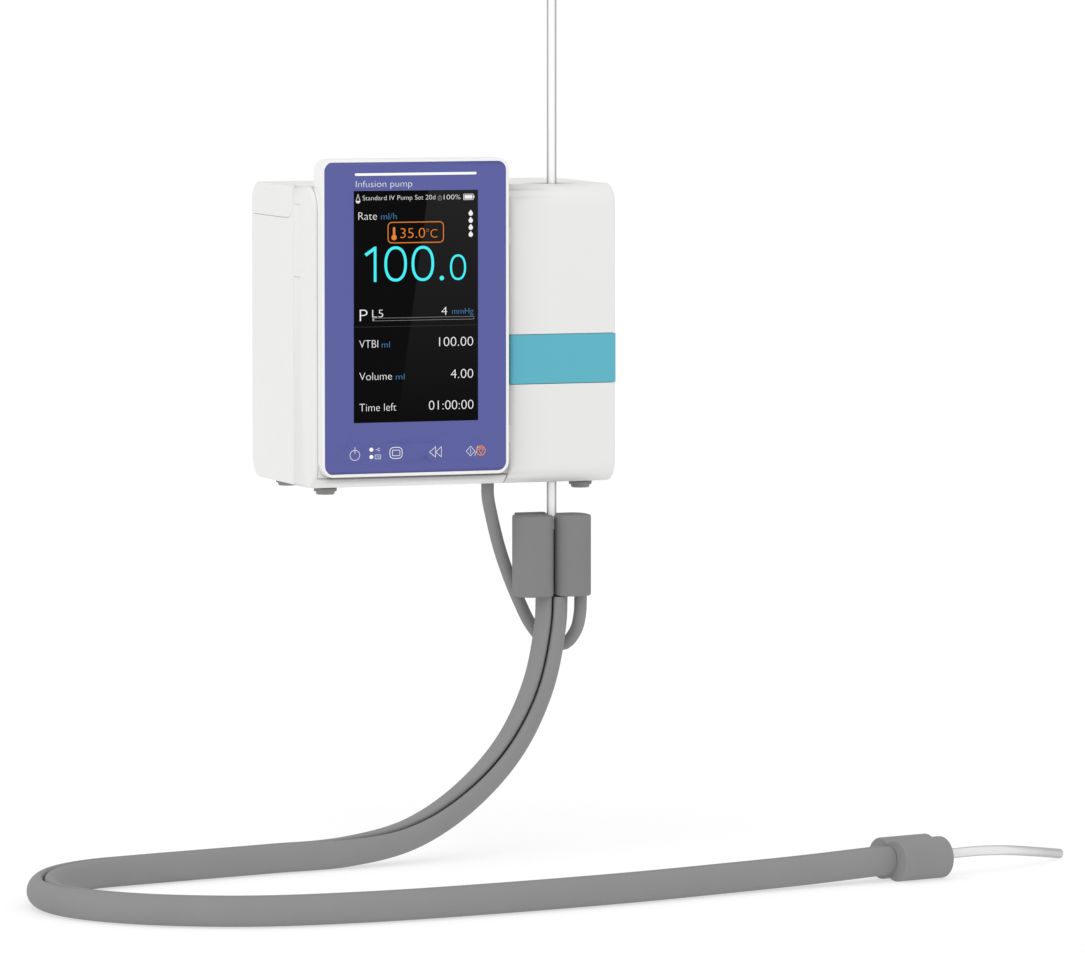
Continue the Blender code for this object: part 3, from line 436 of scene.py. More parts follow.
def loft(loops, ring=False, angle=30.0):
    """A closed mesh through equal loops of points, capped unless it comes back to its start."""
    form = bmesh.new()
    rows = [[form.verts.new(point) for point in loop] for loop in loops]
    for low, high in zip(rows, rows[1:] + (rows[:1] if ring else [])):
        for i in range(len(low)):
            form.faces.new((low[i - 1], low[i], high[i], high[i - 1]))
    if not ring:
        form.faces.new(rows[0])
        form.faces.new(rows[-1])
    return finish_mesh(form, angle)


def solid(outline, origin, u, v, length, edge=0.0, steps=3):
    """An outline extruded along u x v, with its two rims rounded by `edge`."""
    origin, u, v = (np.array(a, float) for a in (origin, u, v))
    along = np.cross(u, v)
    turns = np.radians(np.linspace(0, 90, steps + 1)) if edge else [math.pi / 2]
    rows = [(edge * (1 - math.cos(a)), edge * (1 - math.sin(a))) for a in turns]
    rows += [(length - height, amount) for height, amount in reversed(rows)]
    loops = []
    for height, amount in rows:
        flat = inset(outline, amount) if amount else np.array(outline, float)
        loops.append(origin + np.outer(flat[:, 0], u) + np.outer(flat[:, 1], v) + along * height)
    return loft(loops)


def lathe(profile, origin, axis, steps=32, angle=30.0, ring=False):
    """A (radius, height) profile turned about an axis."""
    turn = Vector(axis).to_track_quat("Z", "Y").to_matrix()
    loops = []
    for step in range(steps):
        a = math.tau * step / steps
        loops.append([Vector(origin) + turn @ Vector((r * math.cos(a), r * math.sin(a), h))
                      for r, h in profile])
    form = bmesh.new()
    rows = [[form.verts.new(point) for point in loop] for loop in loops]
    count = len(profile)
    for low, high in zip(rows, rows[1:] + rows[:1]):
        for i in range(count if ring else count - 1):
            form.faces.new((low[i], low[(i + 1) % count], high[(i + 1) % count], high[i]))
    bmesh.ops.remove_doubles(form, verts=form.verts, dist=0.000001)
    bmesh.ops.dissolve_degenerate(form, edges=form.edges, dist=0.0000001)
    return finish_mesh(form, angle)


def distance_along(path):
    """How far each point of the path is from its start."""
    return np.concatenate([[0.0], np.cumsum(np.linalg.norm(np.diff(path, axis=0), axis=1))])


def smooth_route(route, count):
    """Evenly spaced points along a centripetal Catmull-Rom curve through the route."""
    def between(a, b, start, end, t):
        return a * ((end - t) / (end - start)) + b * ((t - start) / (end - start))

    points = [Vector(p) for p in route]
    points = [2 * points[0] - points[1]] + points + [2 * points[-1] - points[-2]]
    fine = []
    for p0, p1, p2, p3 in zip(points, points[1:], points[2:], points[3:]):
        knots = [0.0]
        for a, b in ((p0, p1), (p1, p2), (p2, p3)):
            knots.append(knots[-1] + (b - a).length ** 0.5)
        t0, t1, t2, t3 = knots
        for t in np.linspace(t1, t2, 24, endpoint=False):
            a1, a2 = between(p0, p1, t0, t1, t), between(p1, p2, t1, t2, t)
            a3 = between(p2, p3, t2, t3, t)
            b1, b2 = between(a1, a2, t0, t2, t), between(a2, a3, t1, t3, t)
            fine.append(between(b1, b2, t1, t2, t))
    fine.append(points[-2])
    line = np.array(fine)
    reach = distance_along(line)
    marks = np.linspace(0.0, reach[-1], count)
    return np.column_stack([np.interp(marks, reach, line[:, i]) for i in range(3)])


def unit(vectors):
    return vectors / np.linalg.norm(vectors, axis=-1, keepdims=True)


def along_path(path, section, outs):
    """Loops of the (across, out) section round each point of the path, out leaning to outs."""
    ahead = unit(np.gradient(path, axis=0))
    outs = unit(outs - ahead * np.sum(outs * ahead, axis=1)[:, None])
    sides = np.cross(outs, ahead)
    section = np.array(section, float)
    return [point + np.outer(section[:, 0], side) + np.outer(section[:, 1], out)
            for point, side, out in zip(path, sides, outs)]


# ---- cords
CABLE_RADIUS, TUBE_RADIUS, BORE_RADIUS = 0.00265, 0.00205, 0.00180
LOBE_RADIUS, LOBE_SHIFT, SLIT_HALF, LIP = 0.0060, 0.0007, 0.00037, 0.0016
BLOCK_TOP, BLOCK_BOTTOM, TUBE_TOP = -0.0759, -0.1098, 0.1437
CABLE_ROUTE = [
    (0.0164, -0.0770, -0.0624), (0.0165, -0.0769, -0.0680), (0.0190, -0.0747, -0.0770),
    (0.0229, -0.0727, -0.0897), (0.0268, -0.0721, -0.1005), (0.0319, -0.0718, -0.1124),
    (0.0378, -0.0718, -0.1236), (0.0440, -0.0729, -0.1303), (0.0506, -0.0765, -0.1310),
    (0.0541, -0.0806, -0.1253), (0.0549, -0.0836, -0.1180), (0.0550, -0.0843, -0.1100),
]
SLEEVE_ROUTE = [
    (0.0418, -0.0851, -0.1100), (0.0413, -0.0852, -0.1210), (0.0354, -0.0868, -0.1466),
    (0.0216, -0.0905, -0.1713), (-0.0004, -0.0963, -0.1915), (-0.0265, -0.1032, -0.2048),
    (-0.0570, -0.1110, -0.2099), (-0.0907, -0.1176, -0.2104), (-0.1247, -0.1260, -0.2104),
    (-0.1516, -0.1326, -0.2104), (-0.1751, -0.1401, -0.2104), (-0.1928, -0.1545, -0.2104),
    (-0.2035, -0.1735, -0.2104), (-0.2088, -0.1966, -0.2104), (-0.2044, -0.2205, -0.2104),
    (-0.1908, -0.2405, -0.2104), (-0.1700, -0.2565, -0.2104), (-0.1417, -0.2675, -0.2104),
    (-0.0993, -0.2698, -0.2104), (-0.0464, -0.2635, -0.2104), (0.0147, -0.2511, -0.2104),
    (0.0600, -0.2385, -0.2103), (0.0976, -0.2293, -0.2098), (0.1372, -0.2220, -0.2083),
]
OUTLET_ROUTE = [
    (0.1600, -0.2162, -0.2083), (0.1686, -0.2142, -0.2080), (0.1820, -0.2110, -0.2079),
    (0.1960, -0.2065, -0.2088), (0.2120, -0.1970, -0.2112), (0.2300, -0.1828, -0.2145),
]


def sleeve_section():
    """Two round lobes side by side, parted at the top by a slit with rounded lips."""
    lip_x = SLIT_HALF + LIP
    top = math.sqrt((LOBE_RADIUS - LIP) ** 2 - (lip_x - LOBE_SHIFT) ** 2)
    meet = math.degrees(math.atan2(top, lip_x - LOBE_SHIFT))
    right = arc((LOBE_SHIFT, 0.0), LOBE_RADIUS, -90, meet, 22)
    right += arc((lip_x, top), LIP, meet, 180, 6)[1:]
    right += [(SLIT_HALF, top - 0.0020), (SLIT_HALF, 0.0003)]
    return right + mirrored(right)


def slit_direction(path):
    """Where the slit faces: forwards under the block, turning over to face up on the floor."""
    ahead = unit(np.gradient(path, axis=0))
    front = np.array((-0.225, -0.974, 0.0))
    front = unit(front - ahead * (ahead @ front)[:, None])
    inner = np.cross(ahead, front)
    inner *= np.where(inner[:, 2] < 0, -1.0, 1.0)[:, None]
    turn = np.radians(np.interp(distance_along(path), (0.0, 0.045, 0.085, 0.115, 0.145, 0.175),
                                (0.0, 5.0, 22.0, 38.0, 62.0, 90.0)))
    return front * np.cos(turn)[:, None] + inner * np.sin(turn)[:, None]


def build_cords():
    path = smooth_route(SLEEVE_ROUTE, 260)
    loops = along_path(path, sleeve_section(), slit_direction(path))
    sleeve = place("warmer_sleeve_skin", loft(loops), "foam", "warmer_sleeve")

    cable_path = smooth_route(CABLE_ROUTE, 60)
    outs = np.tile((0.0, -1.0, 0.0), (len(cable_path), 1))
    mesh = loft(along_path(cable_path, circle((0, 0), CABLE_RADIUS, 20), outs))
    cable = place("heater_cable_skin", mesh, "foam", "heater_cable")

    outlet_path = smooth_route(OUTLET_ROUTE, 40)
    outlet = hollow_tube("iv_tube_outlet", outlet_path, "lying_tube", (0.1, 0.2, 1.0))
    straight = np.column_stack([np.full(30, TUBE_X), np.full(30, TUBE_Y),
                                np.linspace(BLOCK_TOP - 0.0060, TUBE_TOP, 30)])
    supply = hollow_tube("iv_tube", straight, "tube", (0.0, -1.0, 0.0))
    return (sleeve, path), (cable, cable_path), (outlet, outlet_path), (supply, straight)


def hollow_tube(node, path, look, out):
    """A clear tube's wall, and the pale core that shows through it."""
    def rings(radius):
        return along_path(path, circle((0, 0), radius, 24), np.tile(out, (len(path), 1)))

    gap = 0.00004                   # keeps the core clear of the wall
    core = rings(BORE_RADIUS - gap)[:-1]
    bore = place(f"{node}_skin_bore", loft(core, angle=50.0), "bore")
    wall = loft(rings(TUBE_RADIUS) + rings(BORE_RADIUS)[::-1], ring=True, angle=50.0)
    return place(f"{node}_skin", wall, look, node), bore


def declare_cords(cords, block, clip, chamber, spike):
    (sleeve, path), (cable, cable_path), (outlet, outlet_path), (supply, straight) = cords
    (outlet, outlet_bore), (supply, supply_bore) = outlet, supply


# ---- warmer and drip set
CLIP_START = np.array((0.1369, -0.2220, -0.2082))
CLIP_AHEAD = unit(np.array((0.970, 0.243, 0.0)))
CLIP_RADIUS, CLIP_HALF_SPACING, CLIP_LENGTH = 0.00845, 0.0050, 0.0240


def build_block():
    """Two rounded lobes with the tube's slit between them, a groove at the back and a tab in it."""
    half, deep, corner, slit = 0.0162, 0.0085, 0.0060, 0.0004
    fold = 48.6                     # where the back groove's floor meets the lobes' corners
    front = (arc((-half + corner, -deep + corner), corner, 180, 270, 8)
             + arc((-slit - corner, -deep + corner), corner, 270, 360, 8) + [(-slit, 0.0)])
    back = (arc((half - corner, deep - corner), corner, 0, 90, 8)
            + arc((slit + corner, deep - corner), corner, 90, 180 - fold, 5))
    outline = front + mirrored(front) + back + mirrored(back)
    tall = BLOCK_TOP - BLOCK_BOTTOM
    lobes = solid(outline, (TUBE_X, TUBE_Y, BLOCK_BOTTOM), X, Y, tall, 0.0009, 4)
    tab = solid(rounded((-0.0138, 0.0045), (-0.0006, 0.0084), 0.0012, 4),
                (TUBE_X, TUBE_Y, BLOCK_TOP - 0.0040), X, Y, 0.0046, 0.0003)
    block = place("warmer_block_skin", joined([lobes, tab]), "dense_foam", "warmer_block")
    even_shading(block)
    return block


def build_clip():
    """Two joined cylinders lying side by side round the end of the sleeve."""
    part = math.degrees(math.acos(CLIP_HALF_SPACING / CLIP_RADIUS))
    outline = (arc((CLIP_HALF_SPACING, 0), CLIP_RADIUS, part - 180, 180 - part, 26)
               + arc((-CLIP_HALF_SPACING, 0), CLIP_RADIUS, part, 360 - part, 26))
    across = np.array((-CLIP_AHEAD[1], CLIP_AHEAD[0], 0.0))
    mesh = solid(outline, CLIP_START, across, Z, CLIP_LENGTH, 0.0008, 4)
    clip = place("sleeve_end_clip_skin", mesh, "foam", "sleeve_end_clip")
    even_shading(clip)
    return clip


def build_drip_set():
    """A clear chamber, part full, under a spike with a flange."""
    low, high, top, radius, bore = 0.1440, 0.1890, 0.2160, 0.0085, 0.0068
    origin = (TUBE_X, TUBE_Y, 0.0)
    profile = [(0.0021, low), (0.0030, low + 0.0005), (0.0030, low + 0.003), (0.0074, low + 0.0086),
               (0.0076, low + 0.010), (0.0076, high - 0.005), (radius, high - 0.004),
               (radius, high - 0.0006), (radius - 0.0006, high), (0.0026, high),
               (0.0026, high - 0.0015), (bore, high - 0.0020), (bore, low + 0.010),
               (0.0066, low + 0.0094), (0.0021, low + 0.0040)]
    chamber = place("drip_chamber_skin", lathe(profile, origin, Z, ring=True), "chamber",
                    "drip_chamber")
    level = low + 0.022
    fill = [(0.0, level), (0.0066, level), (0.0067, low + 0.0102), (0.0064, low + 0.0096),
            (0.0019, low + 0.0042), (0.0, low + 0.0042)]
    place("drip_fluid", lathe(fill, origin, Z), "fluid")
    base = high + 0.0003
    spike = [(0.0, top), (0.0004, top), (0.0011, top - 0.0022), (0.0023, top - 0.0100),
             (0.0024, base + 0.0085), (0.0040, base + 0.0080), (0.0068, base + 0.0075),
             (0.0070, base + 0.0071), (0.0070, base + 0.0061), (0.0066, base + 0.0057),
             (0.0032, base + 0.0052), (0.0030, base + 0.0040), (0.0034, base + 0.0036),
             (0.0034, base + 0.0028), (0.0030, base + 0.0024), (0.0030, base), (0.0, base)]
    return chamber, place("bag_spike_skin", lathe(spike, origin, Z), "white_trim", "bag_spike")


# ---- case
def on_profile(point):
    """Whether a point lies on the case's outline seen from the side."""
    middle = (FRONT_Y + REAR_Y) / 2
    reach_y = abs(point.y - middle) - ((REAR_Y - FRONT_Y) / 2 - CORNER)
    reach_z = abs(point.z) - (HALF_HEIGHT - CORNER)
    outside = math.hypot(max(reach_y, 0.0), max(reach_z, 0.0))
    return abs(outside + min(max(reach_y, reach_z), 0.0) - CORNER) < 0.0002


def profile_y(z):
    """The case's front face at a height."""
    reach = max(abs(z) - (HALF_HEIGHT - CORNER), 0.0)
    return FRONT_Y + CORNER - math.sqrt(max(CORNER ** 2 - reach ** 2, 0.0))


def softened(node, material, body, *rules):
    """A copy of a CAD node whose chosen edges are rounded. A rule is (test of a point, width)."""
    form = form_from(NODES[node].data, 0.000002)
    bmesh.ops.dissolve_limit(form, angle_limit=math.radians(0.6), verts=form.verts,
                             edges=form.edges)
    for test, width in rules:
        edges = [e for e in form.edges
                 if len(e.link_faces) == 2 and e.calc_face_angle(0.0) > math.radians(40)
                 and all(test(v.co) for v in e.verts)]
        bmesh.ops.bevel(form, geom=edges, offset=width, segments=3, profile=0.5,
                        affect="EDGES", clamp_overlap=False)
    piece = place(node + "_skin", finish_mesh(form, 50.0), material, node, body=body)
    even_shading(piece)
    return piece


def anywhere(point):
    return True


def at_side(point):
    return abs(abs(point.x) - HALF_WIDTH) < 0.0001


def outer_side(point):
    return at_side(point) and on_profile(point)


def carve(piece, cutters):
    """Cuts temporary meshes out of a piece for good."""
    tools = []
    for mesh in cutters:
        tools.append(add_object("cutter", mesh))
        change = piece.modifiers.new("cut", "BOOLEAN")
        change.operation = "DIFFERENCE"
        change.solver = "EXACT"
        change.object = tools[-1]
        piece.modifiers.move(len(piece.modifiers) - 1, 0)
    mesh = baked_mesh(piece)
    mesh.name = piece.name
    piece.modifiers.clear()
    piece.data = mesh
    for tool in tools:
        bpy.data.objects.remove(tool, do_unlink=True)
    mesh.shade_smooth()
    mesh.set_sharp_from_angle(angle=math.radians(35))
    even_shading(piece)


def build_case():
    def door_gap(p):
        return 0.0180 < p.x < 0.0190 and on_profile(p)

    def pad_border(p):
        return at_side(p) and not on_profile(p)

    # The front housing's white carries painted shade under the display module.
    softened("front_housing", "white_front_painted_shade", "pump", (outer_side, 0.0011), (door_gap, 0.0005))
    rear = softened("rear_housing", "white", "pump", (outer_side, 0.0011))
    softened("carry_handle", "white", "handle", (outer_side, 0.0010), (pad_border, 0.0006))
    softened("side_port_cover", "white", "port_cover")
    carve(rear, rear_openings())
    build_seam_lip()
    build_display_lips()
    build_side_lips()
    build_hinge_lips()
    build_fixings()


def rear_openings():
    """Air slots in the right side, and the loudspeaker's round holes in the back."""
    slot_count, slot_low, slot_pitch, slot_width = 9, -0.048, 0.0052, 0.0022
    slots = []
    for step in range(slot_count):
        z = slot_low + slot_pitch * step
        slots.append(solid(rounded((-0.056, z), (-0.030, z + slot_width), slot_width / 2, 4),
                           (0.0570, 0.0, 0.0), Y, Z, 0.012))
    pitch, row_pitch, reach, hole_radius = 0.0042, 0.00364, 0.0092, 0.0011
    holes = []
    for row in range(-2, 3):
        for column in range(-2, 3):
            x, z = pitch * (column + (row % 2) / 2), row_pitch * row
            if math.hypot(x, z) < reach:
                holes.append(solid(circle((0.040 + x, -0.042 + z), hole_radius, 14),
                                   (0.0, -0.0080, 0.0), X, Z, 0.0120))
    return joined(slots), joined(holes)


def lip_ring(outer, inner, front, rear, point):
    """A closed lip between two outlines, from one depth to another."""
    loops = ((outer, front), (outer, rear), (inner, rear), (inner, front))
    return loft([[point(u, v, depth) for u, v in outline] for outline, depth in loops], True)


def build_seam_lip():
    """A lip just under the surface, so that the parting line is a fine groove and not a gap."""
    depth, wall = 0.00010, 0.0008
    case = rounded((-HALF_WIDTH + depth, -HALF_HEIGHT + depth),
                   (HALF_WIDTH - depth, HALF_HEIGHT - depth), 0.0009, 4)
    mesh = lip_ring(case, inset(case, wall), -0.0704, -0.0696, lambda x, z, y: (x, y, z))
    place("seam_lip", mesh, "white")


def build_display_lips():
    """Strips that close the gap between the display module and the case's curved front."""
    (low_x, low_z), high_x, corner = DISPLAY_LOW, DISPLAY_HIGH[0], DISPLAY_CORNER
    hidden = 0.0003                 # how far the strips run on behind the display module
    left, right = low_x - 0.0005, 0.0186

    def strip(first, last, ends):
        sections = []
        for z in np.linspace(first, last, 14):
            y = profile_y(z) - 0.00002
            x0, x1 = ends(z)
            sections.append([(x0, y, z), (x1, y, z), (x1, y + 0.0020, z), (x0, y + 0.0020, z)])
        return loft(sections)

    def corner_gap(z):
        return corner - math.sqrt(max(corner ** 2 - (low_z + corner - z) ** 2, 0.0)) + hidden

    strips = [strip(low_z - 0.0004, low_z + hidden, lambda z: (left, right)),
              strip(low_z + hidden, low_z + corner, lambda z: (left, low_x + corner_gap(z))),
              strip(low_z + hidden, low_z + corner, lambda z: (high_x - corner_gap(z), right))]
    # The strips' white carries painted shade under the display module.
    place("display_lip", joined(strips), "white_front_painted_shade")

    back = -0.0872
    fillet = []
    for z in np.linspace(low_z + corner, HALF_HEIGHT - 0.0002, 140):
        y = profile_y(z)
        section = [(-0.00062, y + 0.00002), (-0.00028, y - 0.00006), (-0.00010, y - 0.00020),
                   (0.00002, y - 0.00055), (0.00002, back), (-0.00028, back),
                   (-0.00028, y + 0.0002), (-0.00062, y + 0.0002)]
        fillet.append([(low_x + across, depth, z) for across, depth in section])
    # The fillet's whiter white is painted light in the corner beside the display module.
    place("display_fillet", loft(fillet), "rim")


def build_side_lips():
    """The same kind of lip round the port cover and under the carry handle's hubs."""
    low, high, groove = (-0.0790, 0.0245), (-0.0702, 0.0545), 0.00028
    outer = rounded((low[0] - groove, low[1] - groove), (high[0] + 0.00004, high[1] + groove),
                    0.0003, 2)
    inner = rounded(low, high, 0.0003, 2)
    place("port_lip", lip_ring(outer, inner, -0.06588, -0.0649, lambda y, z, x: (x, y, z)), "white")

    side, thick = 0.06585, 0.0012
    outline = rounded((-0.0685, 0.04846), (-0.0140, 0.0488), 0.0001, 2)
    for name, x in (("left", -side), ("right", side - thick)):
        mesh = solid(outline, (x, 0, 0), Y, Z, thick)
        place(f"handle_lip_{name}", mesh, "white", body="handle")


def build_hinge_lips():
    """Curved strips on the door that close the gap in front of its hinges."""
    centre, outer, inner, width = (0.0221, -0.0933), 0.0032, 0.00285, 0.0072
    outline = arc(centre, outer, 209, 226, 6) + arc(centre, inner, 226, 209, 6)
    for name, middle in (("upper", 0.041), ("lower", -0.041)):
        mesh = solid(outline, (0, 0, middle - width / 2), X, Y, width)
        place(f"hinge_lip_{name}", mesh, "white", body="door")


SCREW_RADIUS = 0.0024


def screw_head(place_at, facing):
    """A pan head."""
    radius, height = SCREW_RADIUS, 0.0009
    head = [(0.0, height), (radius * 0.55, height * 0.97), (radius * 0.85, height * 0.72),
            (radius, height * 0.25), (radius, -0.0004), (0.0, -0.0004)]
    return lathe(head, place_at, facing, 20)


def painted_recess_shade(place_at, facing):
    """A dark cross, just proud of the head: painted shade that reads as its recess."""
    turn = Vector(facing).to_track_quat("Z", "Y").to_matrix()
    u, v = turn @ Vector(X), turn @ Vector(Y)
    lift = Vector(place_at) + Vector(facing) * 0.00075
    arm, half = SCREW_RADIUS * 0.55, SCREW_RADIUS * 0.13
    outline = []
    for a, b in ((1, 1), (-1, 1), (-1, -1), (1, -1)):
        outline += [(a * arm, b * half), (a * half, b * half), (a * half, b * arm)][::a * b]
    return solid(outline, lift, u, v, 0.00022)


def build_fixings():
    """The rear housing's screws, and those under the case."""
    spots = [((x, REAR_Y, z), Y) for x in (-0.058, 0.058) for z in (-0.020, 0.036)]
    spots += [((x, y, -HALF_HEIGHT), (0, 0, -1)) for x in (-0.040, 0.050) for y in (-0.062, -0.022)]
    place("case_screws", joined([screw_head(*spot) for spot in spots]), "steel")
    # Painted shade: dark crosses stand for the screws' recesses.
    place("screw_recess_painted_shade", joined([painted_recess_shade(*spot) for spot in spots]), "dark")


# ---- display
def grown(node, material, reach):
    """A copy of a flat CAD node whose side walls are moved outwards by reach(point)."""
    form = form_from(NODES[node].data, 0.000002)
    form.normal_update()
    moves = []
    for vert in form.verts:
        walls = [f.normal for f in vert.link_faces if abs(f.normal.y) < 0.5]
        total = sum((n for n in walls), Vector())
        if total.length > 0.001:
            out = total.normalized()
            share = max(min(out.dot(n) for n in walls), 0.5)
            moves.append((vert, out * (reach(vert.co) / share)))
    for vert, move in moves:
        vert.co += move
    place(node + "_skin", finish_mesh(form, 40.0), material, node)


KEY_Z, KEY_RADIUS, DOME = -0.0470, 0.0044, 0.00060
KEYS = {"power": -0.0494, "menu": -0.0317, "bolus": -0.0145, "start_stop": 0.0032}


def dome_height(distance):
    share = min(distance / KEY_RADIUS, 1.0)
    return DOME * (1 - share ** 2) ** 1.5


def build_display():
    def at_depth(y):
        return lambda p: abs(p.y - y) < 0.00005

    def panel_reach(p):
        """The walls of the openings move outwards; the outline draws in, but for its left."""
        near_key = abs(p.z - KEY_Z) < 0.006 and any(abs(p.x - x) < 0.005 for x in KEYS.values())
        if near_key:
            return 0.00012
        if p.x < -0.0600:
            return 0.0
        return -0.0004 if p.x > 0.0141 or p.z < -0.0534 or p.z > 0.0701 else 0.0002

    softened("display_bezel", "white_trim", "pump", (at_depth(FACE_Y + 0.0001), 0.0003),
             (at_depth(-0.0885), 0.0010))
    outline = rounded(DISPLAY_LOW, DISPLAY_HIGH, DISPLAY_CORNER, 12)
    loops = []
    for amount, depth in ((0.00034, 0.0003), (0.00034, 0.0001), (0.0005, 0.00003),
                          (0.00134, 0.00003), (0.00134, 0.0003)):
        loops.append([(x, FACE_Y + depth, z) for x, z in inset(outline, amount)])
    # The rim round the panel is real; its whiter white is a painted highlight.
    place("display_rim", loft(loops, ring=True), "rim")
    grown("front_panel", "panel", panel_reach)
    # The screen's own material carries a painted reflection over its right.
    paint("screen", "lcd_screen")
    build_light_bar()
    for name, x in KEYS.items():
        profile = [(r, dome_height(r)) for r in np.linspace(0.0, KEY_RADIUS, 12)]
        profile += [(KEY_RADIUS, -0.0018), (0.0, -0.0018)]
        mesh = lathe(profile, (x, FACE_Y, KEY_Z), (0, -1, 0), 40, 60)
        place(f"key_{name}_cap", mesh, "panel", f"button_{name}", body=f"key_{name}")
    lens = [(0.0, 0.0003), (0.0004, 0.00024), (0.0007, 0.0), (0.0008, 0.0), (0.0008, -0.0010),
            (0.0, -0.0010)]
    for name, z in (("led_mains", -0.0457), ("led_battery", -0.0487)):
        mesh = lathe(lens, (-0.0424, FACE_Y, z), (0, -1, 0), 20, 50)
        place(name + "_lens", mesh, "bright_white", name)


def build_light_bar():
    """The lit bar, and the panel's bed which fills the CAD slot round it."""
    low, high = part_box("alarm_bar")
    middle = (low[2] + high[2]) / 2

    def bar(end, half, lift):
        outline = rounded((low[0] - end, middle - half), (high[0] + end, middle + half),
                          half * 0.98, 6)
        return solid([(z, x) for x, z in outline][::-1], (0, FACE_Y - lift, 0), Z, X, 0.0006)

    place("light_bar", bar(-0.00055, 0.00052, 0.00006), "bright_white", "alarm_bar")
    place("light_bar_bed", bar(0.0003, 0.00090, 0.00003), "panel")


class Drawing:
    """Flat marks on the display's face. Lengths are in mm, from an origin, with v upwards."""

    def __init__(self, u0, v0):
        self.origin = (u0, v0)
        self.meshes = []

    def fill(self, *outlines):
        """Closed outlines; one inside another is a hole."""
        curve = bpy.data.curves.new("mark", "CURVE")
        curve.dimensions = "2D"
        curve.fill_mode = "BOTH"
        curve.extrude = 0.01
        for outline in outlines:
            spline = curve.splines.new("POLY")
            spline.points.add(len(outline) - 1)
            for point, (u, v) in zip(spline.points, outline):
                point.co = (u, v, 0.0, 1.0)
            spline.use_cyclic_u = True
        self.keep(curve)

    def keep(self, data, stretch=(1.0, 1.0), shift=(0.0, 0.0)):
        item = add_object("mark", data)
        mesh = baked_mesh(item)
        bpy.data.objects.remove(item, do_unlink=True)
        mesh.transform(Matrix.Translation((*shift, 0.0)) @ Matrix.Diagonal((*stretch, 1.0, 1.0)))
        self.meshes.append(mesh)

    def ring(self, outline, width):
        self.fill(inset(outline, -width / 2), inset(outline, width / 2))

    def line(self, points, width):
        """An open line of even width."""
        points = np.array(points, float)
        run = unit(np.gradient(points, axis=0))
        side = np.column_stack([-run[:, 1], run[:, 0]]) * width / 2
        self.fill(list(points + side) + list((points - side)[::-1]))

    def write(self, words, left, right, base, cap):
        """Text from left to right, its capitals of height cap standing on base."""
        def lettering(body):
            data = bpy.data.curves.new("words", "FONT")
            data.body = body
            data.extrude = 0.01
            data.offset = -0.017        # thinner strokes than the font's own
            item = add_object("words", data)
            bpy.context.view_layer.update()
            corners = [Vector(c) for c in item.bound_box]
            bpy.data.objects.remove(item, do_unlink=True)
            across = [c.x for c in corners]
            return data, min(across), max(across), max(c.y for c in corners)

        tall = cap / lettering("H")[3]
        data, low, high, _ = lettering(words)
        wide = (right - left) / (high - low)
        self.keep(data, (wide, tall), (left - low * wide, base))

    def place(self, name, material, body="pump", lift=None):
        """The drawing as a piece at the screen's depth, brought forward by lift(point)."""
        mesh = joined(self.meshes)
        u0, v0 = self.origin
        front, thick = FACE_Y + SCREEN_SINK, 0.00002
        for vert in mesh.vertices:
            u, v, depth = vert.co
            point = Vector((u0 + u / 1000, front, v0 + v / 1000))
            point.y -= (thick if depth > 0 else 0.0) + (lift(point) if lift else 0.0)
            vert.co = point
        place(name, finish_mesh(form_from(mesh, 0.0000005)), material, body=body)

    def diced(self):
        """Cuts the marks into small cells, so that they can follow a dome."""
        step, reach = 0.35, 5.0
        for mesh in self.meshes:
            form = bmesh.new()
            form.from_mesh(mesh)
            for cut in np.arange(-reach, reach, step):
                for normal in (X, Y):
                    bmesh.ops.bisect_plane(form, geom=form.verts[:] + form.edges[:] + form.faces[:],
                                           plane_co=(cut + 0.013, cut + 0.017, 0), plane_no=normal)
            form.to_mesh(mesh)
            form.free()
        return self


def teardrop(u, v, width, height):
    """A drop whose middle stands at (u, v)."""
    radius = width / 2
    low = v - height / 2 + radius
    return [(u, v + height / 2)] + arc((u, low), radius, 150, 390, 18)


def oval(u, v, half_u, half_v, power=2.25):
    points = []
    for a in np.linspace(0, math.tau, 64, endpoint=False):
        c, s = math.cos(a), math.sin(a)
        points.append((u + half_u * math.copysign(abs(c) ** (2 / power), c),
                       v + half_v * math.copysign(abs(s) ** (2 / power), s)))
    return points


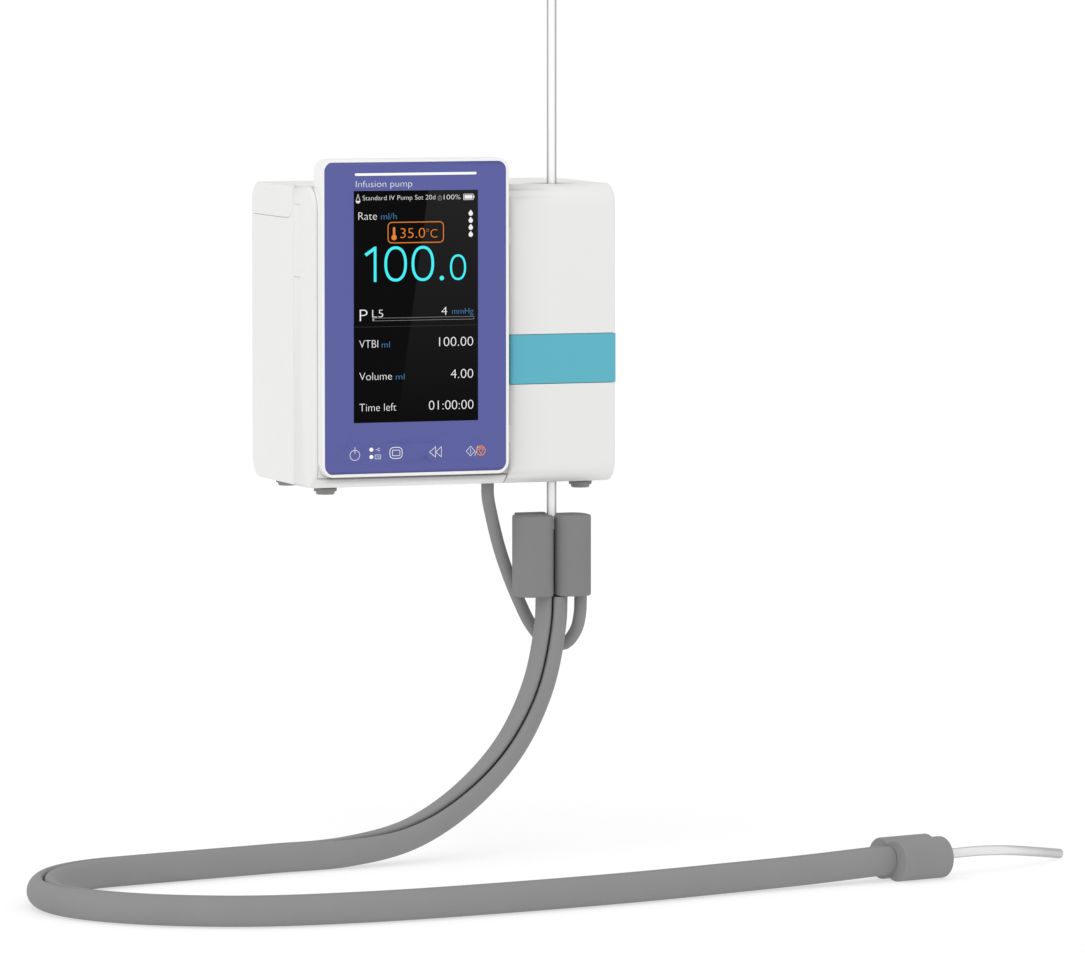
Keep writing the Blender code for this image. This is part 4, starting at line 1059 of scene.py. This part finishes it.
def draw_screen():
    """The display's readings: generic labels, units and numbers."""
    def drawing():
        return Drawing(SCREEN_LEFT, SCREEN_TOP)

    white = drawing()
    white.write("Standard IV Pump Set 20d", 3.9, 35.4, -3.8, 1.85)
    white.write("100%", 39.1, 46.3, -3.9, 1.9)
    white.write("Rate", 2.1, 10.1, -11.8, 3.1)
    white.write("P", 2.6, 5.9, -53.4, 4.8)
    white.write("L5", 8.0, 12.7, -51.9, 3.1)
    white.write("4", 37.9, 40.5, -51.4, 3.3)
    for label, right, base in (("VTBI", 10.5, -64.3), ("Volume", 16.5, -77.6),
                               ("Time left", 18.4, -90.4)):
        white.write(label, 2.4, right, base, 3.1)
    white.write("100.00", 37.0, 51.8, -64.3, 3.7)
    white.write("4.00", 42.0, 51.8, -77.6, 3.7)
    white.write("01:00:00", 32.5, 51.9, -90.4, 3.7)
    for v in (-9.5, -12.4, -15.3, -18.2):
        white.fill(teardrop(50.8, v, 1.9, 2.5))
    white.ring(teardrop(1.95, -3.1, 1.7, 3.6), 0.22)
    white.fill(arc((1.95, -4.0), 0.72, 180, 360, 12))
    white.ring(rounded((47.7, -4.1), (51.9, -1.8), 0.25, 3), 0.2)
    white.fill(rounded((48.1, -3.7), (51.5, -2.2), 0.1, 2))
    white.fill(rounded((52.0, -3.4), (52.4, -2.5), 0.1, 2))
    white.place("screen_marks", "white_lit")

    grey = drawing()
    grey.ring(rounded((8.1, -53.3), (52.1, -52.2), 0.12, 2), 0.13)
    grey.fill(rounded((8.2, -53.2), (8.9, -52.3), 0.05, 2))
    grey.ring(rounded((36.6, -4.1), (38.1, -2.7), 0.1, 2), 0.15)
    grey.line(arc((37.35, -2.7), 0.45, 0, 180, 10), 0.15)
    grey.fill(circle((37.35, -3.4), 0.2, 12))
    grey.place("screen_fine_marks", "grey_lit")

    rule = drawing()
    rule.fill([(0.2, -55.8), (53.6, -55.8), (53.6, -55.65), (0.2, -55.65)])
    rule.place("screen_rule", "rule_lit")

    blue = drawing()
    for unit_and_place in (("ml/h", 11.9, 18.6, -11.8, 2.6), ("mmHg", 42.7, 51.9, -51.1, 2.4),
                           ("ml", 12.1, 15.6, -64.3, 2.4), ("ml", 18.2, 21.9, -77.6, 2.4)):
        blue.write(*unit_and_place)
    blue.place("screen_units", "blue_lit")

    orange = drawing()
    orange.ring(rounded((14.9, -21.4), (38.9, -13.0), 1.6, 6), 0.35)
    orange.write("35.0", 20.2, 30.9, -19.5, 4.0)
    orange.write("°C", 31.4, 36.3, -19.5, 3.4)
    orange.fill(rounded((17.0, -18.9), (18.0, -14.9), 0.48, 5))
    orange.fill(circle((17.5, -19.2), 1.15, 24))
    orange.place("screen_temperature", "orange_lit")

    cyan = drawing()
    cyan.fill([(8.7, -37.3), (8.7, -24.6), (5.5, -26.8), (4.7, -25.7), (9.0, -22.8), (9.85, -22.8),
               (9.85, -37.3)][::-1])
    for middle in (18.15, 29.95):
        cyan.ring(oval(middle, -30.05, 4.3, 6.65), 1.15)
    cyan.fill(circle((38.2, -36.2), 0.95, 24))
    cyan.ring(oval(45.25, -31.85, 3.05, 4.85), 0.88)
    cyan.place("screen_rate", "cyan_lit")


def draw_panel():
    """Printed symbols on the panel and on the key caps."""
    def on_dome(name):
        return lambda p: SCREEN_SINK + dome_height(math.hypot(p.x - KEYS[name], p.z - KEY_Z))

    def key(name):
        return Drawing(KEYS[name] - 0.0003, KEY_Z - 0.0005)

    def print_mark(drawing, mark, ink, name):
        drawing.diced().place(mark, ink, f"key_{name}", on_dome(name))

    power = key("power")
    power.ring(circle((0, -0.3), 2.1, 48), 0.22)
    power.line([(0, 0.4), (0, 3.1)], 0.22)
    print_mark(power, "mark_power", "white_print", "power")

    menu = key("menu")
    menu.ring(oval(0.15, 0.25, 2.65, 2.3, 3.2), 0.30)
    menu.ring(rounded((-1.45, -0.9), (1.75, 1.4), 0.3, 4), 0.26)
    print_mark(menu, "mark_menu", "white_print", "menu")

    bolus = key("bolus")
    for u in (-2.55, 0.05):
        bolus.ring([(u, 0.25), (u + 2.6, -1.85), (u + 2.6, 2.35)], 0.22)
    print_mark(bolus, "mark_bolus", "white_print", "bolus")

    start = key("start_stop")
    start.ring([(-4.1, 0.2), (-2.3, -1.8), (-0.5, 0.2), (-2.3, 2.2)], 0.20)
    start.line([(-2.3, -0.8), (-2.3, 1.2)], 0.20)
    start.line([(-0.5, -1.9), (0.7, 2.3)], 0.20)
    print_mark(start, "mark_start", "white_print", "start_stop")
    stop = key("start_stop")
    stop.ring(circle((2.2, 0.3), 1.95, 40), 0.36)
    stop.ring([(1.0, 0.95), (2.2, -1.05), (3.4, 0.95)], 0.26)
    stop.line([(0.9, 1.55), (3.5, 1.55)], 0.26)
    print_mark(stop, "mark_stop", "orange_print", "start_stop")

    small = Drawing(-0.0396, KEY_Z)
    small.line([(-1.0, 1.3), (0.1, 1.3)], 0.2)
    small.line([(0.1, 0.8), (0.1, 1.8), (0.9, 1.8)], 0.2)
    small.line([(0.1, 0.8), (0.9, 0.8)], 0.2)
    small.ring(rounded((-1.2, -2.5), (1.2, -0.9), 0.2, 3), 0.2)
    small.line([(-0.6, -1.7), (0.1, -1.7)], 0.2)
    small.line([(0.45, -2.0), (0.45, -1.4)], 0.2)
    small.write("Infusion pump", -9.3, 15.0, 109.1, 2.6)
    small.place("mark_small", "white_print", lift=lambda p: SCREEN_SINK)


# ---- door, feet, back
def build_door():
    """The door's shell, lever and liner, and the plate behind it that the tube is pressed to."""
    def lever_edge(p):
        """The lever's two long edges and its ends."""
        return p.z > -0.0001 or p.z < -0.0203 or at_side(p)

    # The door shell's white carries painted shade in its hollows beside the display module.
    softened("door_shell", "white_door_painted_shade", "door", (outer_side, 0.0011))
    softened("door_lever", "teal", "lever", (lever_edge, 0.0002))
    softened("door_liner", "white_trim", "door", (anywhere, 0.0003))
    softened("pump_face_plate", "white_trim", "pump")


def build_feet():
    for node in ("foot_front_left", "foot_front_right", "foot_rear_left", "foot_rear_right"):
        (x0, y0, _), (x1, y1, top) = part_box(node)
        middle = ((x0 + x1) / 2, (y0 + y1) / 2, -HALF_HEIGHT)
        profile = [(0.0, 0.0003), (0.0046, 0.0003), (0.0048, 0.0005), (0.0048, 0.0016),
                   (0.0045, 0.0018), (0.0040, 0.0019), (0.0038, 0.0028), (0.0035, 0.0031),
                   (0.0012, 0.0031), (0.0010, 0.0025), (0.0, 0.0025)]
        place(node + "_skin", lathe(profile, middle, (0, 0, -1), 28, 40), "rubber", node)


def build_gland():
    low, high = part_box("cable_gland")
    middle = ((low[0] + high[0]) / 2, (low[1] + high[1]) / 2, 0.0)
    profile = [(0.0027, -0.0621), (0.0038, -0.0621), (0.0040, -0.0619),
               (0.0041, -0.0591), (0.0056, -0.0590), (0.0056, -0.0560), (0.0027, -0.0560)]
    place("cable_gland_skin", lathe(profile, middle, Z, ring=True), "rubber", "cable_gland")


CLAMP_AXIS_Y = 0.022                  # the clamp's screw runs along X at z = 0


def threaded_rod(start, end, radius, pitch, depth):
    """A rod along X with a helical thread."""
    steps, slices = 24, 6
    loops = []
    for x in np.arange(start, end, pitch / slices):
        loop = []
        for step in range(steps):
            phase = (x / pitch - step / steps) % 1.0
            r = radius - depth * abs(2 * phase - 1)
            a = math.tau * step / steps
            loop.append((x, CLAMP_AXIS_Y + r * math.cos(a), r * math.sin(a)))
        loops.append(loop)
    return loft(loops, angle=60)


def build_clamp():
    softened("clamp_body", "aluminium", "pump", (anywhere, 0.0008))
    low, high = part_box("clamp_pad")
    rib = 0.0008
    parts = [solid(rounded(low[1:], high[1:], 0.0012, 3), (low[0] + rib, 0, 0), Y, Z,
                   high[0] - low[0] - rib, 0.0005)]
    for z in np.linspace(low[2] + 3 * rib, high[2] - 3 * rib, 8):
        outline = rounded((low[1] + rib, z - rib), (high[1] - rib, z + rib), 0.0003, 2)
        parts.append(solid(outline, (low[0], 0, 0), Y, Z, 0.0012, 0.0003))
    place("clamp_pad_skin", joined(parts), "rubber", "clamp_pad", body="clamp_pad")

    knob_low, knob_high, knob_radius, wave = 0.052, 0.070, 0.017, 0.10
    lobes = []
    for a in np.linspace(0, math.tau, 96, endpoint=False):
        r = knob_radius * (1 - wave + wave * math.cos(6 * a))
        lobes.append((CLAMP_AXIS_Y + r * math.cos(a), r * math.sin(a)))
    knob = solid(lobes, (knob_low, 0, 0), Y, Z, knob_high - knob_low, 0.0018, 5)
    profile = [(0.0, 0.0), (0.0062, 0.0), (0.0070, 0.0008), (0.0070, 0.0030), (0.0, 0.0030)]
    collar = lathe(profile, (knob_low - 0.0022, CLAMP_AXIS_Y, 0.0), X, 32, 40)
    place("clamp_knob_skin", joined([knob, collar]), "dark", "clamp_screw", body="clamp_knob")
    place("clamp_thread", threaded_rod(0.0173, 0.0535, 0.0040, 0.0020, 0.0007), "steel",
          body="clamp_knob")


def build_inlet():
    paint("dark", "mains_inlet")
    pins = []
    for x, z in ((-0.0470, -0.0440), (-0.0370, -0.0440), (-0.0420, -0.0400)):
        pins.append(solid(rounded((z - 0.0020, x - 0.0008), (z + 0.0020, x + 0.0008), 0.0003, 2),
                          (0, -0.0285, 0), Z, X, 0.0130, 0.0003))
    place("inlet_pins", joined(pins), "steel")


def paint_rest():
    paint("white", "cam_gear")
    paint("dark", "speaker", "bubble_sensor", "pressure_sensor",
          *(f"finger_{i}" for i in range(1, 7)))
    paint("steel", "pressure_plate", "latch_hook", "hinge_bracket_upper", "hinge_bracket_lower",
          "hinge_pin_upper", "hinge_pin_lower", "camshaft", "motor_pinion", "drive_motor")
    paint("aluminium", "mechanism_frame", "power_supply")
    paint("board", "main_board", "display_board")
    paint("battery", "battery_pack")


CORDS = build_cords()
BLOCK, CLIP = build_block(), build_clip()
declare_cords(CORDS, BLOCK, CLIP, *build_drip_set())
build_case()
build_display()
draw_screen()
draw_panel()
build_door()
build_feet()
build_gland()
build_clamp()
build_inlet()
paint_rest()
